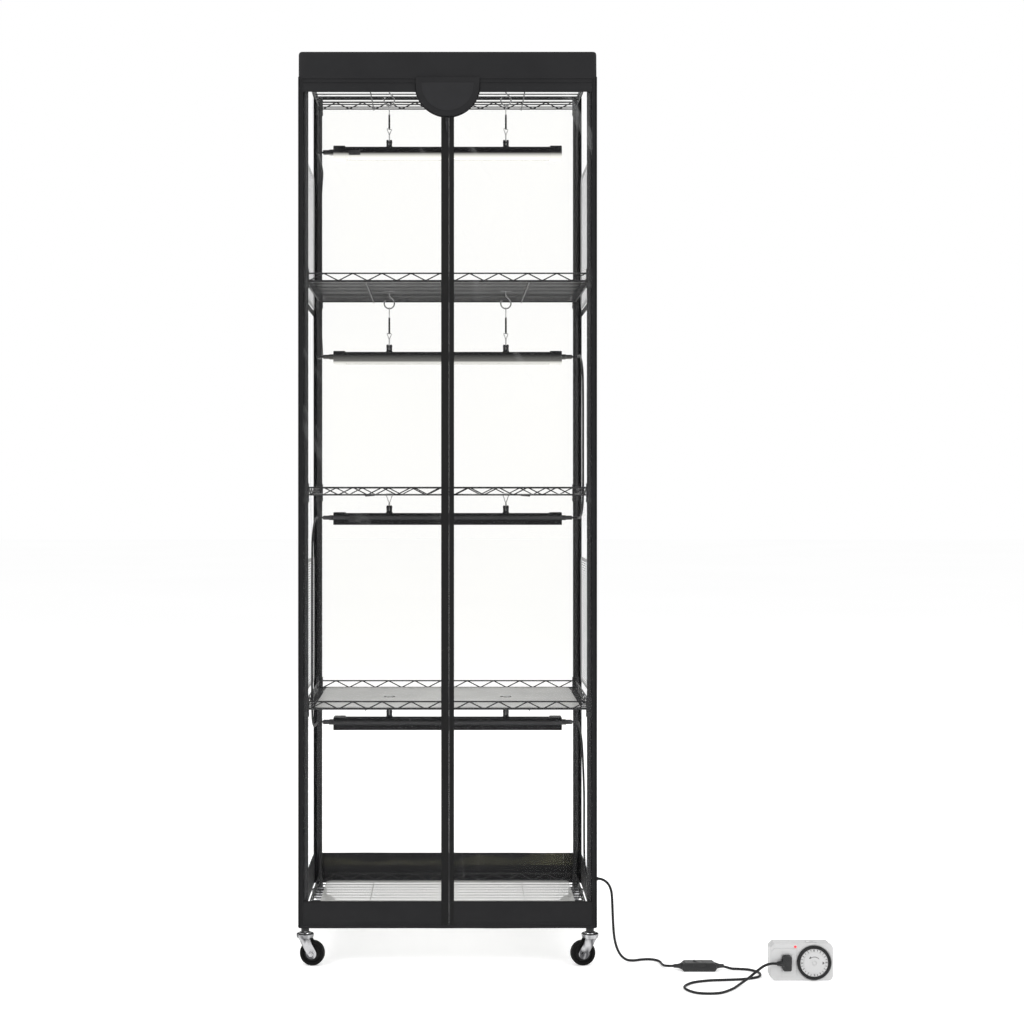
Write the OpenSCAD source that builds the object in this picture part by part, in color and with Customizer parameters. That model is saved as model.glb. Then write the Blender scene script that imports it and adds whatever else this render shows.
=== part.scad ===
// Indoor greenhouse: a wire shelving tower in a clear zip-up cover on casters,
// with four hanging grow lights, a cord with an inline switch and a plug-in timer.
// Millimetres, +Z up, front towards -Y, origin at the middle of the footprint on the floor.

/* [Cabinet] */
// Width of the cover
cover_w = 600; // [500:5:800]
// Depth of the cover
cover_d = 394; // [340:2:500]
// Height of the top of the cover above the floor
total_h = 1839; // [1600:1:2000]
// Height of the header band across the front
header_h = 54; // [30:1:80]
// Height of the narrow band round the sides and rear of the top
top_band = 15; // [12:1:30]
// Height of the lower edge of the cover above the floor
hem_z = 75.5; // [72:0.5:90]
// Height of the side and rear skirts
skirt_h = 67; // [30:1:120]
// Thickness of the sewn fabric
cloth_t = 1.2; // [0.8:0.1:1.4]
// Thickness of the clear film
film_t = 0.4; // [0.3:0.1:0.6]
// Radius of the cover's corners
corner_r = 7; // [4:0.5:12]
// Reach of a corner trim along the side
trim_reach = 14; // [8:1:30]
// Width of a corner trim on the front
trim_w = 9; // [6:0.5:20]

/* [Vents] */
// Height of the upper vents
vent_upper_h = 278; // [100:1:300]
// Height of the lower vents
vent_lower_h = 259; // [100:1:300]
// Distance from the front of the cover to a vent
vent_front = 32; // [25:1:60]
// Distance from a vent to the rear of the cover
vent_rear = 25; // [20:1:60]
// Width of the net that laps behind the film
vent_lap = 9; // [4:1:16]
// Thickness of the net
net_t = 0.4; // [0.2:0.1:0.6]

/* [Frame] */
// Outer diameter of a post
post_d = 12.7; // [10:0.1:16]
// Distance from the axis of a post to the side of the cover
post_gap_x = 13; // [11:0.5:30]
// Distance from the axis of a post to the front or rear of the cover
post_gap_y = 10; // [10:0.1:30]
// Distance between the locating grooves
groove_pitch = 25.4; // [20:0.1:50]
// Height of the top rail of the lowest shelf
shelf_z = 98.1; // [90:0.1:110]
// Distance from the top rail of the highest shelf to the top of the cover
top_room = 13.7; // [10:0.1:60]
// Height from the bottom rail to the top rail of a shelf
rail_gap = 14.9; // [10:0.1:20]
// Diameter of a rail
rail_d = 3; // [2:0.1:3.4]
// Width of the truss strip
truss_w = 2.6; // [2:0.1:3]
// Length of half a wave of the truss
truss_pitch = 29.5; // [20:0.5:40]
// Diameter of a deck wire
deck_d = 2.6; // [2:0.1:3]
// Spacing of the deck wires
deck_pitch = 24; // [18:1:30]
// Distance from the middle to a cross wire
cross_x = 165; // [80:1:220]
// Outer diameter of a corner collar
collar_d = 16.4; // [15:0.1:18]
// Wall of a corner collar
collar_t = 0.9; // [0.6:0.1:1.2]
// Thickness of a shelf liner
liner_t = 0.8; // [0.4:0.1:1.5]
// Distance from a liner's end to the axis of a post
liner_gap_x = 17; // [12:1:40]
// Distance from a liner's side to the axis of a post
liner_gap_y = 13; // [11:1:30]

/* [Doors] */
// Height of the top border of a door
door_top_band = 17.4; // [10:0.2:30]
// Height of the bottom border of a door
door_bottom_band = 46.7; // [20:0.1:80]
// Thickness of a door's sewn border
border_t = 0.6; // [0.4:0.1:0.8]
// Middle of the zip
zip_x = 1.85; // [0:0.05:4]
// Gap between the doors
zip_gap = 2.1; // [1.5:0.1:4]
// Width of the left stile
stile_left = 13.7; // [10:0.1:30]
// Width of the right stile
stile_right = 10.1; // [8:0.1:30]
// Width of the badge
badge_w = 128; // [60:1:160]
// Thickness of the badge
badge_t = 3.4; // [2.5:0.1:5]
// Width of the badge's raised border
badge_rim = 11; // [4:1:16]
// Height of the zip slider
slider_h = 16; // [12:1:24]
// Length of the pull below its pin
pull_l = 24.5; // [18:0.5:40]

/* [Lights] */
// Length of a light bar
light_l = 484; // [400:1:500]
// Width of a light bar
light_w = 38; // [24:1:60]
// Height of a light bar
light_h = 24; // [20:1:30]
// Wall of a light bar
light_wall = 1.4; // [1:0.1:2]
// Length of an end cap
cap_l = 25; // [15:1:40]
// Length of a connector beyond the end cap
connector_l = 23; // [12:1:23]
// Distance from the middle to a hanger
hanger_x = 124; // [60:1:180]
// Distance from the end of a light to the middle of its switch
switch_x = 45; // [42:1:90]
// Length of a light's rocker
rocker_l = 23.4; // [16:0.2:30]

/* [Casters] */
// Diameter of a wheel
wheel_d = 50; // [40:1:50]
// Width of a wheel
wheel_w = 17; // [12:1:18]
// Distance from the swivel axis to the axle
trail = 15; // [8:1:16]
// Angle of the casters to the front edge at rest
caster_yaw = 10; // [-20:1:20]
// Diameter of the swivel stem
stem_d = 8; // [6:0.5:8]
// Diameter of the axle
axle_d = 6; // [4:0.5:8]
// Thickness of the fork
fork_t = 2; // [1.5:0.1:2.5]

/* [Cord] */
// Diameter of the power cord
cord_d = 5; // [3:0.1:6]
// Diameter of the leads between the lights
lead_d = 4.2; // [3:0.1:5]
// Distance from the front of the cover to the gland
gland_front = 32; // [26:1:60]
// Height of the gland
gland_z = 168; // [150:1:300]
// Length of the inline switch
inline_l = 68; // [50:1:68]
// Width of the inline switch
inline_w = 25; // [16:1:30]
// Height of the inline switch
inline_h = 18; // [14:0.5:24]

/* [Timer] */
// Length of the timer's case
timer_l = 123; // [110:1:140]
// Width of the timer's case
timer_w = 72; // [70:1:90]
// Thickness of the timer's case
timer_t = 34; // [25:1:45]
// Diameter of the timer's dial
dial_d = 54; // [40:1:56]
// Diameter of the ring of pins
pins_d = 66; // [60:1:68]

/* [Hidden] */
$fn = 48;
// Gap between welded wires that are drawn as separate solids
weld_gap = 0.2;
// Radial gap of a running fit
run_gap = 0.08;
hx = cover_w / 2;
hy = cover_d / 2;
post_x = hx - post_gap_x;
post_y = hy - post_gap_y;
post_top = total_h - cloth_t - 0.8;
head_z = total_h - header_h;
seam_z = head_z - 10.5;
door_z0 = hem_z + 6.8;
door_z1 = seam_z - 0.2;
door_x = hx - trim_w - 0.1;
door_y = -hy + border_t;
gland_y = -hy + gland_front;
zip_left = zip_x - zip_gap / 2;
zip_right = zip_x + zip_gap / 2;
badge_z = head_z - 13.5;
film_x = hx - cloth_t;
film_y = hy - cloth_t;
film_top = total_h - corner_r - 1;
shelf_pitch = (total_h - top_room - shelf_z) / 4;
shelf_tops = [for (i = [4:-1:0]) shelf_z + i * shelf_pitch];
decks = [for (z = shelf_tops) z - rail_gap];
vent_upper_z = shelf_tops[1] - 26.5;
vent_lower_z = shelf_tops[3] + 11.1;
// Distance from the deck wires to the top of each light
light_drop = [126.4, 129.6, 39.8, 42.5];
light_z = [for (i = [0:3]) decks[i] - light_drop[i] - light_h];
light_turn = [0, 180, 0, 180];
fork_z = wheel_d + 4;
fork_h = 9;
race_z = fork_z + fork_h + 0.6;
post_z0 = race_z + 6.4;
inline_at = [500, -228, 0];
timer_at = [690, -300, timer_w / 2 + 0.2];
dial_u = timer_l / 2 - 38;

// Points of an arc from angle a to angle b in n steps
function arc(cx, cy, r, a, b, n) =
    [for (i = [0:n]) [cx + r * cos(a + (b - a) * i / n), cy + r * sin(a + (b - a) * i / n)]];

// Points of a rectangle with rounded corners, centred on the origin
function round_rect(w, d, r, n = 5) = concat(
    arc(w / 2 - r, d / 2 - r, r, 0, 90, n),
    arc(-w / 2 + r, d / 2 - r, r, 90, 180, n),
    arc(-w / 2 + r, -d / 2 + r, r, 180, 270, n),
    arc(w / 2 - r, -d / 2 + r, r, 270, 360, n));

// Outline of the badge grown by g, in the plane of the front
function badge_outline(g) = concat(
    [[badge_w / 2 + g, head_z + 2 + g], [-badge_w / 2 - g, head_z + 2 + g]],
    arc(0, badge_z, badge_w / 2 + g, 180, 360, 28));

function unit(v) = v / norm(v);

// Path with its corners rounded by r
function soften(p, r, closed = false, n = 3) = [
    for (i = [0:len(p) - 1])
        let (a = p[(i + len(p) - 1) % len(p)], v = p[i], b = p[(i + 1) % len(p)])
        for (k = [0:(!closed && (i == 0 || i == len(p) - 1)) ? 0 : n])
            let (t = k / n, s = v + r * unit(a - v), e = v + r * unit(b - v))
            (!closed && (i == 0 || i == len(p) - 1)) ? v
                : (1 - t) * (1 - t) * s + 2 * t * (1 - t) * v + t * t * e];

// Smooth curve through control points
function spline(p, n = 4) = concat([
    for (i = [0:len(p) - 2])
        let (a = p[max(i - 1, 0)], b = p[i], c = p[i + 1], d = p[min(i + 2, len(p) - 1)])
        for (k = [0:n - 1])
            let (t = k / n)
            0.5 * (2 * b + (c - a) * t + (2 * a - 5 * b + 4 * c - d) * t * t
                + (3 * b - a - 3 * c + d) * t * t * t)], [p[len(p) - 1]]);

// Round wire of radius r along a path, with ends cut square
module tube(path, r, ref, closed = false, sides = 8) {
    m = len(path);
    tan = [for (i = [0:m - 1]) unit(
        closed ? path[(i + 1) % m] - path[(i + m - 1) % m]
            : path[min(i + 1, m - 1)] - path[max(i - 1, 0)])];
    pts = [for (i = [0:m - 1])
        let (u = unit(cross(tan[i], ref)), w = cross(tan[i], u))
        for (k = [0:sides - 1])
            path[i] + r * (cos(360 * k / sides) * u + sin(360 * k / sides) * w)];
    rings = closed ? m : m - 1;
    walls = [for (i = [0:rings - 1]) for (k = [0:sides - 1])
        let (a = i * sides, b = ((i + 1) % m) * sides, q = (k + 1) % sides)
        each [[a + k, b + q, a + q], [a + k, b + k, b + q]]];
    caps = closed ? [] : [
        [for (k = [0:sides - 1]) k],
        [for (k = [sides - 1:-1:0]) (m - 1) * sides + k]];
    polyhedron(points = pts, faces = concat(walls, caps), convexity = 4);
}

// Flat plate in the plane of the front, from y0 to y1
module plate(pts, y0, y1) {
    translate([0, y1, 0]) rotate([90, 0, 0]) linear_extrude(y1 - y0) polygon(pts);
}

// Plate in the plane of a side, given as [y, z] points, from x0 to x1
module side_plate(pts, x0, x1) {
    translate([x0, 0, 0]) rotate([90, 0, 90]) linear_extrude(x1 - x0) polygon(pts);
}

module box(x0, x1, y0, y1, z0, z1) {
    translate([x0, y0, z0]) cube([x1 - x0, y1 - y0, z1 - z0]);
}

module at_posts() {
    for (sx = [-1, 1], sy = [-1, 1])
        translate([sx * post_x, sy * post_y, 0]) children();
}

// Frame

module posts() {
    r = post_d / 2;
    n = floor((post_top - 20 - post_z0) / groove_pitch);
    foot = stem_d / 2 + 0.05;
    outline = concat(
        [[foot, post_z0], [r - 1.15, post_z0], [r - 0.35, post_z0 + 5.2], [r, post_z0 + 5.6]],
        [for (i = [1:n]) let (z = post_z0 + groove_pitch * i)
            each [[r, z - 0.9], [r - 0.5, z - 0.5], [r - 0.5, z + 0.5], [r, z + 0.9]]],
        [[r, post_top - 3.4], [r + 1, post_top - 3.4], [r + 1, post_top - 1], [r, post_top],
            [0, post_top], [0, post_top - 3], [r - 1, post_top - 3], [r - 1, post_z0 + 16],
            [foot, post_z0 + 16]]);
    color("dimgray") at_posts() rotate_extrude() polygon(outline);
}

module rail_x(l, d, y, z) {
    translate([-l / 2, y, z]) rotate([0, 90, 0]) cylinder(d = d, h = l);
}

module rail_y(l, d, x, z) {
    translate([x, -l / 2, z]) rotate([-90, 0, 0]) cylinder(d = d, h = l);
}

// Zigzag strip of half waves over length l, between the two rails
function zigzag(l) =
    let (n = round(l / truss_pitch), w = truss_w / 2)
    concat([for (i = [0:n]) [-l / 2 + l * i / n, (i % 2 == 0 ? 0 : rail_gap) - w]],
        [for (i = [n:-1:0]) [-l / 2 + l * i / n, (i % 2 == 0 ? 0 : rail_gap) + w]]);

// A shelf is welded from four trusses, four collars and a deck, each drawn as its own solid
module shelf(i) {
    zb = decks[i];
    lx = 2 * (post_x - collar_d / 2 - weld_gap);
    ly = 2 * (post_y - collar_d / 2 - weld_gap);
    inside = rail_d / 2 + weld_gap;
    nd = floor((post_y - collar_d / 2 - deck_d) / deck_pitch);
    half_t = truss_w / 2 - 0.1;
    color("dimgray") {
        at_posts() translate([0, 0, zb - 5]) difference() {
            cylinder(d = collar_d, h = rail_gap + 13);
            translate([0, 0, -1]) cylinder(d = collar_d - 2 * collar_t, h = rail_gap + 15);
        }
        for (s = [-1, 1]) {
            union() {
                for (z = [zb, zb + rail_gap]) rail_x(lx, rail_d, s * post_y, z);
                plate([for (p = zigzag(lx)) [p[0], zb + p[1]]],
                    s * post_y - half_t, s * post_y + half_t);
            }
            union() {
                for (z = [zb, zb + rail_gap]) rail_y(ly, rail_d, s * post_x, z);
                side_plate([for (p = zigzag(ly)) [p[0], zb + p[1]]],
                    s * post_x - half_t, s * post_x + half_t);
            }
        }
        union() {
            for (k = [-nd:nd]) rail_x(2 * (post_x - inside), deck_d, k * deck_pitch, zb);
            for (s = [-1, 1])
                rail_y(2 * (post_y - inside), deck_d, s * cross_x, zb - deck_d + 0.3);
        }
    }
}

module shelf_1() { shelf(0); }
module shelf_2() { shelf(1); }
module shelf_3() { shelf(2); }
module shelf_4() { shelf(3); }
module shelf_5() { shelf(4); }

// Split sleeves that lock a shelf's collars in a groove of the posts
module shelf_clips() {
    bore = post_d / 2;
    r = collar_d / 2 - collar_t - 0.05;
    color("black") for (zb = decks) at_posts() translate([0, 0, zb]) difference() {
        rotate_extrude() polygon([[bore, -15], [r + 0.85, -15], [r + 0.85, -6.5], [r, -5],
            [r, rail_gap + 8], [bore, rail_gap + 8]]);
        box(-0.6, 0.6, -9, 9, -16, rail_gap + 9);
    }
}

module shelf_liners() {
    color("gainsboro") for (i = [1:4])
        translate([0, 0, decks[i] + deck_d / 2]) difference() {
            linear_extrude(liner_t)
                polygon(round_rect(2 * (post_x - liner_gap_x), 2 * (post_y - liner_gap_y), 12));
            for (s = [-1, 1])
                if (i < 4) box(s * hanger_x - 12, s * hanger_x + 12, -11, 11, -1, liner_t + 1);
        }
}

// Hooks of bent wire over the middle deck wire, for the two upper lights
hook_wire = 3;
hook_drop = 35.9;
cradle_r = 10.85;

module s_hooks() {
    r = hook_wire;
    loop = [[0, -r, -4], [0, -r, 0], [0, -0.707 * r, 0.707 * r], [0, 0, r],
        [0, 0.707 * r, 0.707 * r], [0, r, 0], [0, r - 0.3, -4], [0.3, 1.5, -8],
        [2.4, 0.2, -11.5], [6.6, 0, -15.2], [9.6, 0, -19.6]];
    cradle = [for (a = [0:-22.5:-210])
        [cradle_r * cos(a), 0, cradle_r - hook_drop + cradle_r * sin(a)]];
    color("silver") for (i = [0, 1], s = [-1, 1])
        translate([s * hanger_x, 0, decks[i]])
            tube(concat(loop, cradle), hook_wire / 2, [1, 1, 0]);
}

// Cover

// Rounded block that the header is made from, with t taken off every outer face
module header_block(t, z0) {
    r = corner_r - t;
    h = 2 * header_h + 40;
    mid = total_h - t - h / 2;
    intersection() {
        translate([0, 0, z0]) linear_extrude(total_h - t - z0)
            polygon(round_rect(cover_w - 2 * t, cover_d - 2 * t, r));
        plate([for (p = round_rect(cover_w - 2 * t, h, r)) [p[0], p[1] + mid]],
            -cover_d, cover_d);
        side_plate([for (p = round_rect(cover_d - 2 * t, h, r)) [p[0], p[1] + mid]],
            -cover_w, cover_w);
    }
}

module cover_header() {
    rim = 20;
    tab_r = badge_w / 2 - 16;
    color("black") union() {
        difference() {
            header_block(0, head_z);
            header_block(cloth_t, head_z - 1);
            box(-hx + rim, hx - rim, -hy + rim, hy - rim, total_h - 5, total_h + 1);
            box(-hx - 1, hx + 1, -hy + trim_reach, hy + 1, head_z - 1, total_h - top_band);
        }
        plate([[-door_x, seam_z], [door_x, seam_z], [door_x, head_z + 1], [-door_x, head_z + 1]],
            door_y, door_y + 1);
        plate(concat([[-tab_r + 8, seam_z + 1]], arc(0, badge_z, tab_r, 205, 335, 8),
            [[tab_r - 8, seam_z + 1]]), door_y, door_y + 0.6);
    }
}

module cover_top_film() {
    z = total_h - cloth_t;
    e = corner_r + 1;
    color("lightblue", 0.3) box(-hx + e, hx - e, -hy + e, hy - e, post_top, z);
}

// Vent grown by g, as a plate from x0 to x1
module vent(z0, h, g, x0, x1) {
    w = cover_d - vent_front - vent_rear;
    mid = (vent_front - vent_rear) / 2;
    side_plate([for (p = round_rect(w + 2 * g, h + 2 * g, 22)) [p[0] + mid, p[1] + z0 + h / 2]],
        x0, x1);
}

module side_film(s) {
    x0 = s > 0 ? film_x - film_t : -film_x;
    color("lightblue", 0.3) difference() {
        box(x0, x0 + film_t, -hy + corner_r, hy - corner_r, hem_z + 40, film_top);
        vent(vent_upper_z, vent_upper_h, 0, x0 - 1, x0 + 2);
        vent(vent_lower_z, vent_lower_h, 0, x0 - 1, x0 + 2);
        if (s > 0)
            translate([x0 - 1, gland_y, gland_z]) rotate([0, 90, 0])
                cylinder(d = cord_d + 4, h = 3);
    }
}

module cover_side_film_left() { side_film(-1); }
module cover_side_film_right() { side_film(1); }

module cover_rear_film() {
    color("lightblue", 0.3)
        box(-hx + corner_r, hx - corner_r, film_y - film_t, film_y, hem_z + 40, film_top);
}

// Ring of cloth that follows the outside of the cover
module cloth_ring(z0, z1) {
    translate([0, 0, z0]) linear_extrude(z1 - z0) difference() {
        polygon(round_rect(cover_w, cover_d, corner_r));
        polygon(round_rect(cover_w - 2 * cloth_t, cover_d - 2 * cloth_t, corner_r - cloth_t));
    }
}

module cover_skirt() {
    color("black") difference() {
        cloth_ring(hem_z, hem_z + skirt_h);
        box(-hx - 1, hx + 1, -hy - 1, -hy + trim_reach, hem_z + 6.5, hem_z + skirt_h + 1);
    }
}

module cover_trims() {
    z0 = hem_z + 6.5;
    z1 = hem_z + skirt_h;
    band = vent_upper_z - 23;
    color("black") {
        intersection() {
            cloth_ring(z0, head_z);
            for (s = [-1, 1])
                box(s > 0 ? hx - trim_w : -hx, s > 0 ? hx : -hx + trim_w,
                    -hy, -hy + trim_reach, z0, head_z);
        }
        intersection() {
            cloth_ring(z1, total_h - top_band);
            for (s = [-1, 1])
                box(s > 0 ? hx - trim_reach : -hx, s > 0 ? hx : -hx + trim_reach,
                    hy - trim_reach, hy, z1, total_h - top_band);
        }
        for (s = [-1, 1])
            box(s > 0 ? film_x : -hx + 0.2, s > 0 ? hx - 0.2 : -film_x,
                -hy + trim_reach, hy - trim_reach, band, band + 13);
    }
}

// The openings of the woven net are too fine for this model, so each vent is a plain sheet
module vent_meshes() {
    color("white") for (s = [-1, 1], v = [[vent_upper_z, vent_upper_h], [vent_lower_z, vent_lower_h]]) {
        x0 = s > 0 ? film_x - film_t - net_t : -film_x + film_t;
        vent(v[0], v[1], vent_lap, x0, x0 + net_t);
    }
}

module badge() {
    color("black") union() {
        difference() {
            plate(badge_outline(0), -hy - badge_t, -hy);
            plate(badge_outline(-badge_rim), -hy - badge_t - 1, -hy - badge_t + 1.2);
        }
        intersection() {
            plate(badge_outline(-2), -hy, door_y);
            box(-badge_w, badge_w, -hy - 1, -hy + 5, badge_z - badge_w, head_z - 0.2);
        }
    }
}

// Doors

module door_film(s) {
    x0 = s > 0 ? zip_right : -door_x;
    x1 = s > 0 ? door_x : zip_left;
    color("lightblue", 0.3) difference() {
        box(x0, x1, door_y, door_y + film_t, door_z0, door_z1);
        plate(badge_outline(0.6), -hy - 5, -hy + 5);
    }
}

module door_border(s) {
    x0 = s > 0 ? zip_right : -door_x;
    x1 = s > 0 ? door_x : zip_left;
    stile0 = s > 0 ? zip_right : zip_left - stile_left;
    stile1 = s > 0 ? zip_right + stile_right : zip_left;
    band = door_z0 + door_bottom_band;
    color("black") difference() {
        union() {
            box(x0, x1, -hy, door_y, door_z1 - door_top_band, door_z1);
            box(x0, x1, -hy, door_y, door_z0, band);
            box(s > 0 ? x0 : x0 + 2, s > 0 ? x1 - 2 : x1, -hy - 0.6, door_y - 0.2, band - 2, band);
            box(stile0, stile1, -hy, door_y, door_z0 + 10, door_z1 - 10);
        }
        plate(badge_outline(0.6), -hy - 5, -hy + 5);
        box(zip_x - 6.45, zip_x + 2.75, -hy - 2, -hy, door_z0 - 1, door_z1);
    }
}

module door_film_left() { door_film(-1); }
module door_film_right() { door_film(1); }
module door_border_left() { door_border(-1); }
module door_border_right() { door_border(1); }

// Slider at the top of the zip, just under the badge, with the pin that its pull hangs on
slider_w = 6.8;
slider_x = zip_left - 5;
slider_z = badge_z - badge_w / 2 - 2.5;
pin_y = -hy - 4.4;
pin_z = slider_z - 4.5;
pin_d = 1.2;

module zip_slider() {
    color("dimgray") union() {
        box(slider_x, slider_x + slider_w, -hy - 2.2, -hy - 0.1, slider_z - slider_h, slider_z);
        for (x = [slider_x, slider_x + slider_w - 1])
            box(x, x + 1, pin_y - 1.4, -hy - 2, pin_z - 3, pin_z + 3.5);
        translate([slider_x + 0.2, pin_y, pin_z]) rotate([0, 90, 0])
            cylinder(d = pin_d, h = slider_w - 0.4);
    }
}

module zip_pull() {
    x = slider_x + 1.3;
    w = slider_w - 2.6;
    color("gray") difference() {
        union() {
            box(x, x + w, pin_y - 0.5, pin_y + 0.5, pin_z - pull_l, pin_z);
            translate([x, pin_y, pin_z]) rotate([0, 90, 0]) cylinder(d = 3, h = w);
        }
        translate([slider_x, pin_y, pin_z]) rotate([0, 90, 0])
            cylinder(d = pin_d + 2 * run_gap, h = slider_w);
    }
}

// Lights

module in_light(i) {
    translate([0, 0, light_z[i]]) rotate([0, 0, light_turn[i]]) children();
}

// Outline of the channel, g inside its outer faces
function channel(g, low) =
    let (w = light_w / 2 - g, h = light_h - g)
    [[-w, low], [w, low], [w, h - 3 + g / 2], [w - 3 + g / 2, h], [-w + 3 - g / 2, h],
        [-w, h - 3 + g / 2]];

module light_housing(i) {
    w = light_w / 2;
    e = light_l / 2;
    sx = -e + switch_x;
    half = rocker_l / 2 + 0.6;
    color("black") in_light(i) union() {
        difference() {
            side_plate(channel(0, 0), -e + cap_l - 1, e - cap_l + 1);
            side_plate(channel(light_wall, -1), -e - 1, e + 1);
            box(sx - half, sx + half, -w - 1, -w + 2, 6, 16.6);
        }
        for (s = [-1, 1]) {
            side_plate([[-w - 0.5, 0], [w + 0.5, 0], [w + 0.5, light_h - 1],
                [w - 3, light_h + 2.7], [-w + 3, light_h + 2.7], [-w - 0.5, light_h - 1]],
                s > 0 ? e - cap_l : -e, s > 0 ? e : -e + cap_l);
            if (i > 0 || s < 0)
                box(s > 0 ? e - 1 : -e - connector_l, s > 0 ? e + connector_l : -e + 1,
                    -7, 7, light_h / 2 - 1.2, light_h / 2 + 7.2);
        }
    }
}

module light_lens(i) {
    x = light_l / 2 - cap_l;
    y = light_w / 2 - light_wall;
    color("white") in_light(i) box(-x, x, -y, y, 0.4, 2.6);
}

module light_switch(i) {
    r = rocker_l / 2;
    color("black") in_light(i)
        translate([-light_l / 2 + switch_x, -light_w / 2 + light_wall / 2, 6.1])
            rotate([0, 0, -6]) linear_extrude(10.4)
                polygon([[-r, -1.6], [0, -0.3], [r, -1.6], [r, 3], [-r, 3]]);
}

// Triangle ring with its point down, hanging from z1 to z0, w wide, turned to show its face
module triangle_ring(z0, z1, w) {
    d = [0.707, 0.707, 0];
    up = [0, 0, 1];
    tube(soften([z0 * up, z1 * up + w / 2 * d, z1 * up - w / 2 * d], 4.2, closed = true),
        1, [0.707, -0.707, 0], closed = true);
}

// Clip with two prongs on the light, then a ring, and for the upper lights a rod and a link
module light_hanger(i) {
    top = light_z[i] + light_h;
    hook = decks[i] - hook_drop;
    link_r = 4;
    link_wire = 1.8;
    color("dimgray") for (s = [-1, 1]) translate([s * hanger_x, 0, 0]) union() {
        box(-6, 6, -6, 6, top, top + 5);
        for (x = [-6, 1.6])
            box(x, x + 4.4, -5, 5, top + 4.5, top + 17);
        if (i < 2) {
            translate([0, 0, top + 4.8]) cylinder(d = 2.8, h = 25);
            triangle_ring(top + 28.6, top + 40.8, 15);
            translate([0, 0, top + 39.8]) cylinder(d = 3.8, h = hook - 18.2 - top - 39.8);
            tube(concat(
                [for (a = [0:30:180]) [0, link_r * cos(a), hook - 1.4 + link_r * sin(a)]],
                [for (a = [180:30:360]) [0, link_r * cos(a), hook - 16 + link_r * sin(a)]]),
                link_wire / 2, [1, 0, 0], closed = true);
        } else {
            translate([0, 0, top + 4.8]) cylinder(d = 3.6, h = 18.2);
            triangle_ring(top + 21, decks[i] + 2.45, 21);
        }
    }
}

module light_housing_1() { light_housing(0); }
module light_housing_2() { light_housing(1); }
module light_housing_3() { light_housing(2); }
module light_housing_4() { light_housing(3); }
module light_lens_1() { light_lens(0); }
module light_lens_2() { light_lens(1); }
module light_lens_3() { light_lens(2); }
module light_lens_4() { light_lens(3); }
module light_switch_1() { light_switch(0); }
module light_switch_2() { light_switch(1); }
module light_switch_3() { light_switch(2); }
module light_switch_4() { light_switch(3); }
module light_hanger_1() { light_hanger(0); }
module light_hanger_2() { light_hanger(1); }
module light_hanger_3() { light_hanger(2); }
module light_hanger_4() { light_hanger(3); }

// Points where a lead leaves a connector on side s at height z, turning to the front or rear
function turn_out(s, z, way, r = 8) = concat([[s * 265.2, 0, z]],
    [for (a = [0:30:90]) [s * (269.2 + r * sin(a)), way * r * (1 - cos(a)), z]],
    [[s * 277, way * 13, z]]);

function turn_in(s, z, way) =
    let (p = turn_out(s, z, way)) [for (k = [len(p) - 1:-1:0]) p[k]];

// Leads between the lights, then the lead from the lowest light to the gland
lead_paths = [
    concat(turn_out(-1, 1675, 1), [[-276.8, 24, 1675], [-276.4, 50, 1673.6], [-276, 90, 1668],
        [-275, 130, 1656], [-274.5, 160, 1634], [-274, 175, 1596], [-274, 177, 1530],
        [-274, 177, 1450], [-274, 177, 1370], [-274, 176, 1316], [-274.5, 160, 1276],
        [-275, 122, 1254], [-276, 74, 1243], [-276.8, 30, 1240]], turn_in(-1, 1240, 1)),
    concat(turn_out(1, 1240, -1), [[276.8, -30, 1240], [276, -74, 1236], [275, -122, 1222],
        [274.5, -160, 1196], [274, -175, 1156], [274, -177, 1100], [274, -177, 1040],
        [274, -177, 985], [274, -175, 950], [274.5, -158, 924], [275, -122, 907],
        [276, -74, 900], [276.8, -30, 898]], turn_in(1, 898, -1)),
    concat(turn_out(-1, 898, -1), [[-276.8, -30, 898], [-276, -74, 894], [-275, -122, 882],
        [-274.5, -158, 858], [-274, -175, 820], [-274, -177, 750], [-274, -177, 660],
        [-274, -177, 570], [-274, -175, 522], [-274.5, -158, 491], [-275, -122, 473],
        [-276, -74, 466], [-276.8, -30, 463.5]], turn_in(-1, 463.5, -1)),
    concat(turn_out(1, 463.5, -1), [[277, -24, 463.5], [276, -76, 457], [276, -122, 436],
        [276, -152, 396], [277, -164, 340], [277, -165, 270], [277.5, -165, 215],
        [279.5, -165, 188], [284.5, gland_y, gland_z + 5], [291, gland_y, gland_z + 0.2],
        [296.6, gland_y, gland_z]])];

module jumper_leads() {
    color("black") for (p = lead_paths)
        tube(spline(p, 2), lead_d / 2, [0.3, 0.2, 0.93]);
}

// Casters

module caster_stems() {
    color("silver") at_posts() union() {
        translate([0, 0, fork_z - 2]) cylinder(d = stem_d, h = post_z0 + 14 - fork_z + 2);
        translate([0, 0, fork_z - 3.8]) cylinder(d = stem_d + 6, h = 2.4);
        translate([0, 0, race_z]) cylinder(d = stem_d + 16, h = 2.2);
        translate([0, 0, post_z0 - 2.4]) cylinder(d = stem_d + 3.4, h = 2.4);
    }
}

module in_caster(sx, sy) {
    translate([sx * post_x, sy * post_y, 0])
        rotate([0, 0, sx < 0 ? -caster_yaw : 180 + caster_yaw]) children();
}

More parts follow.
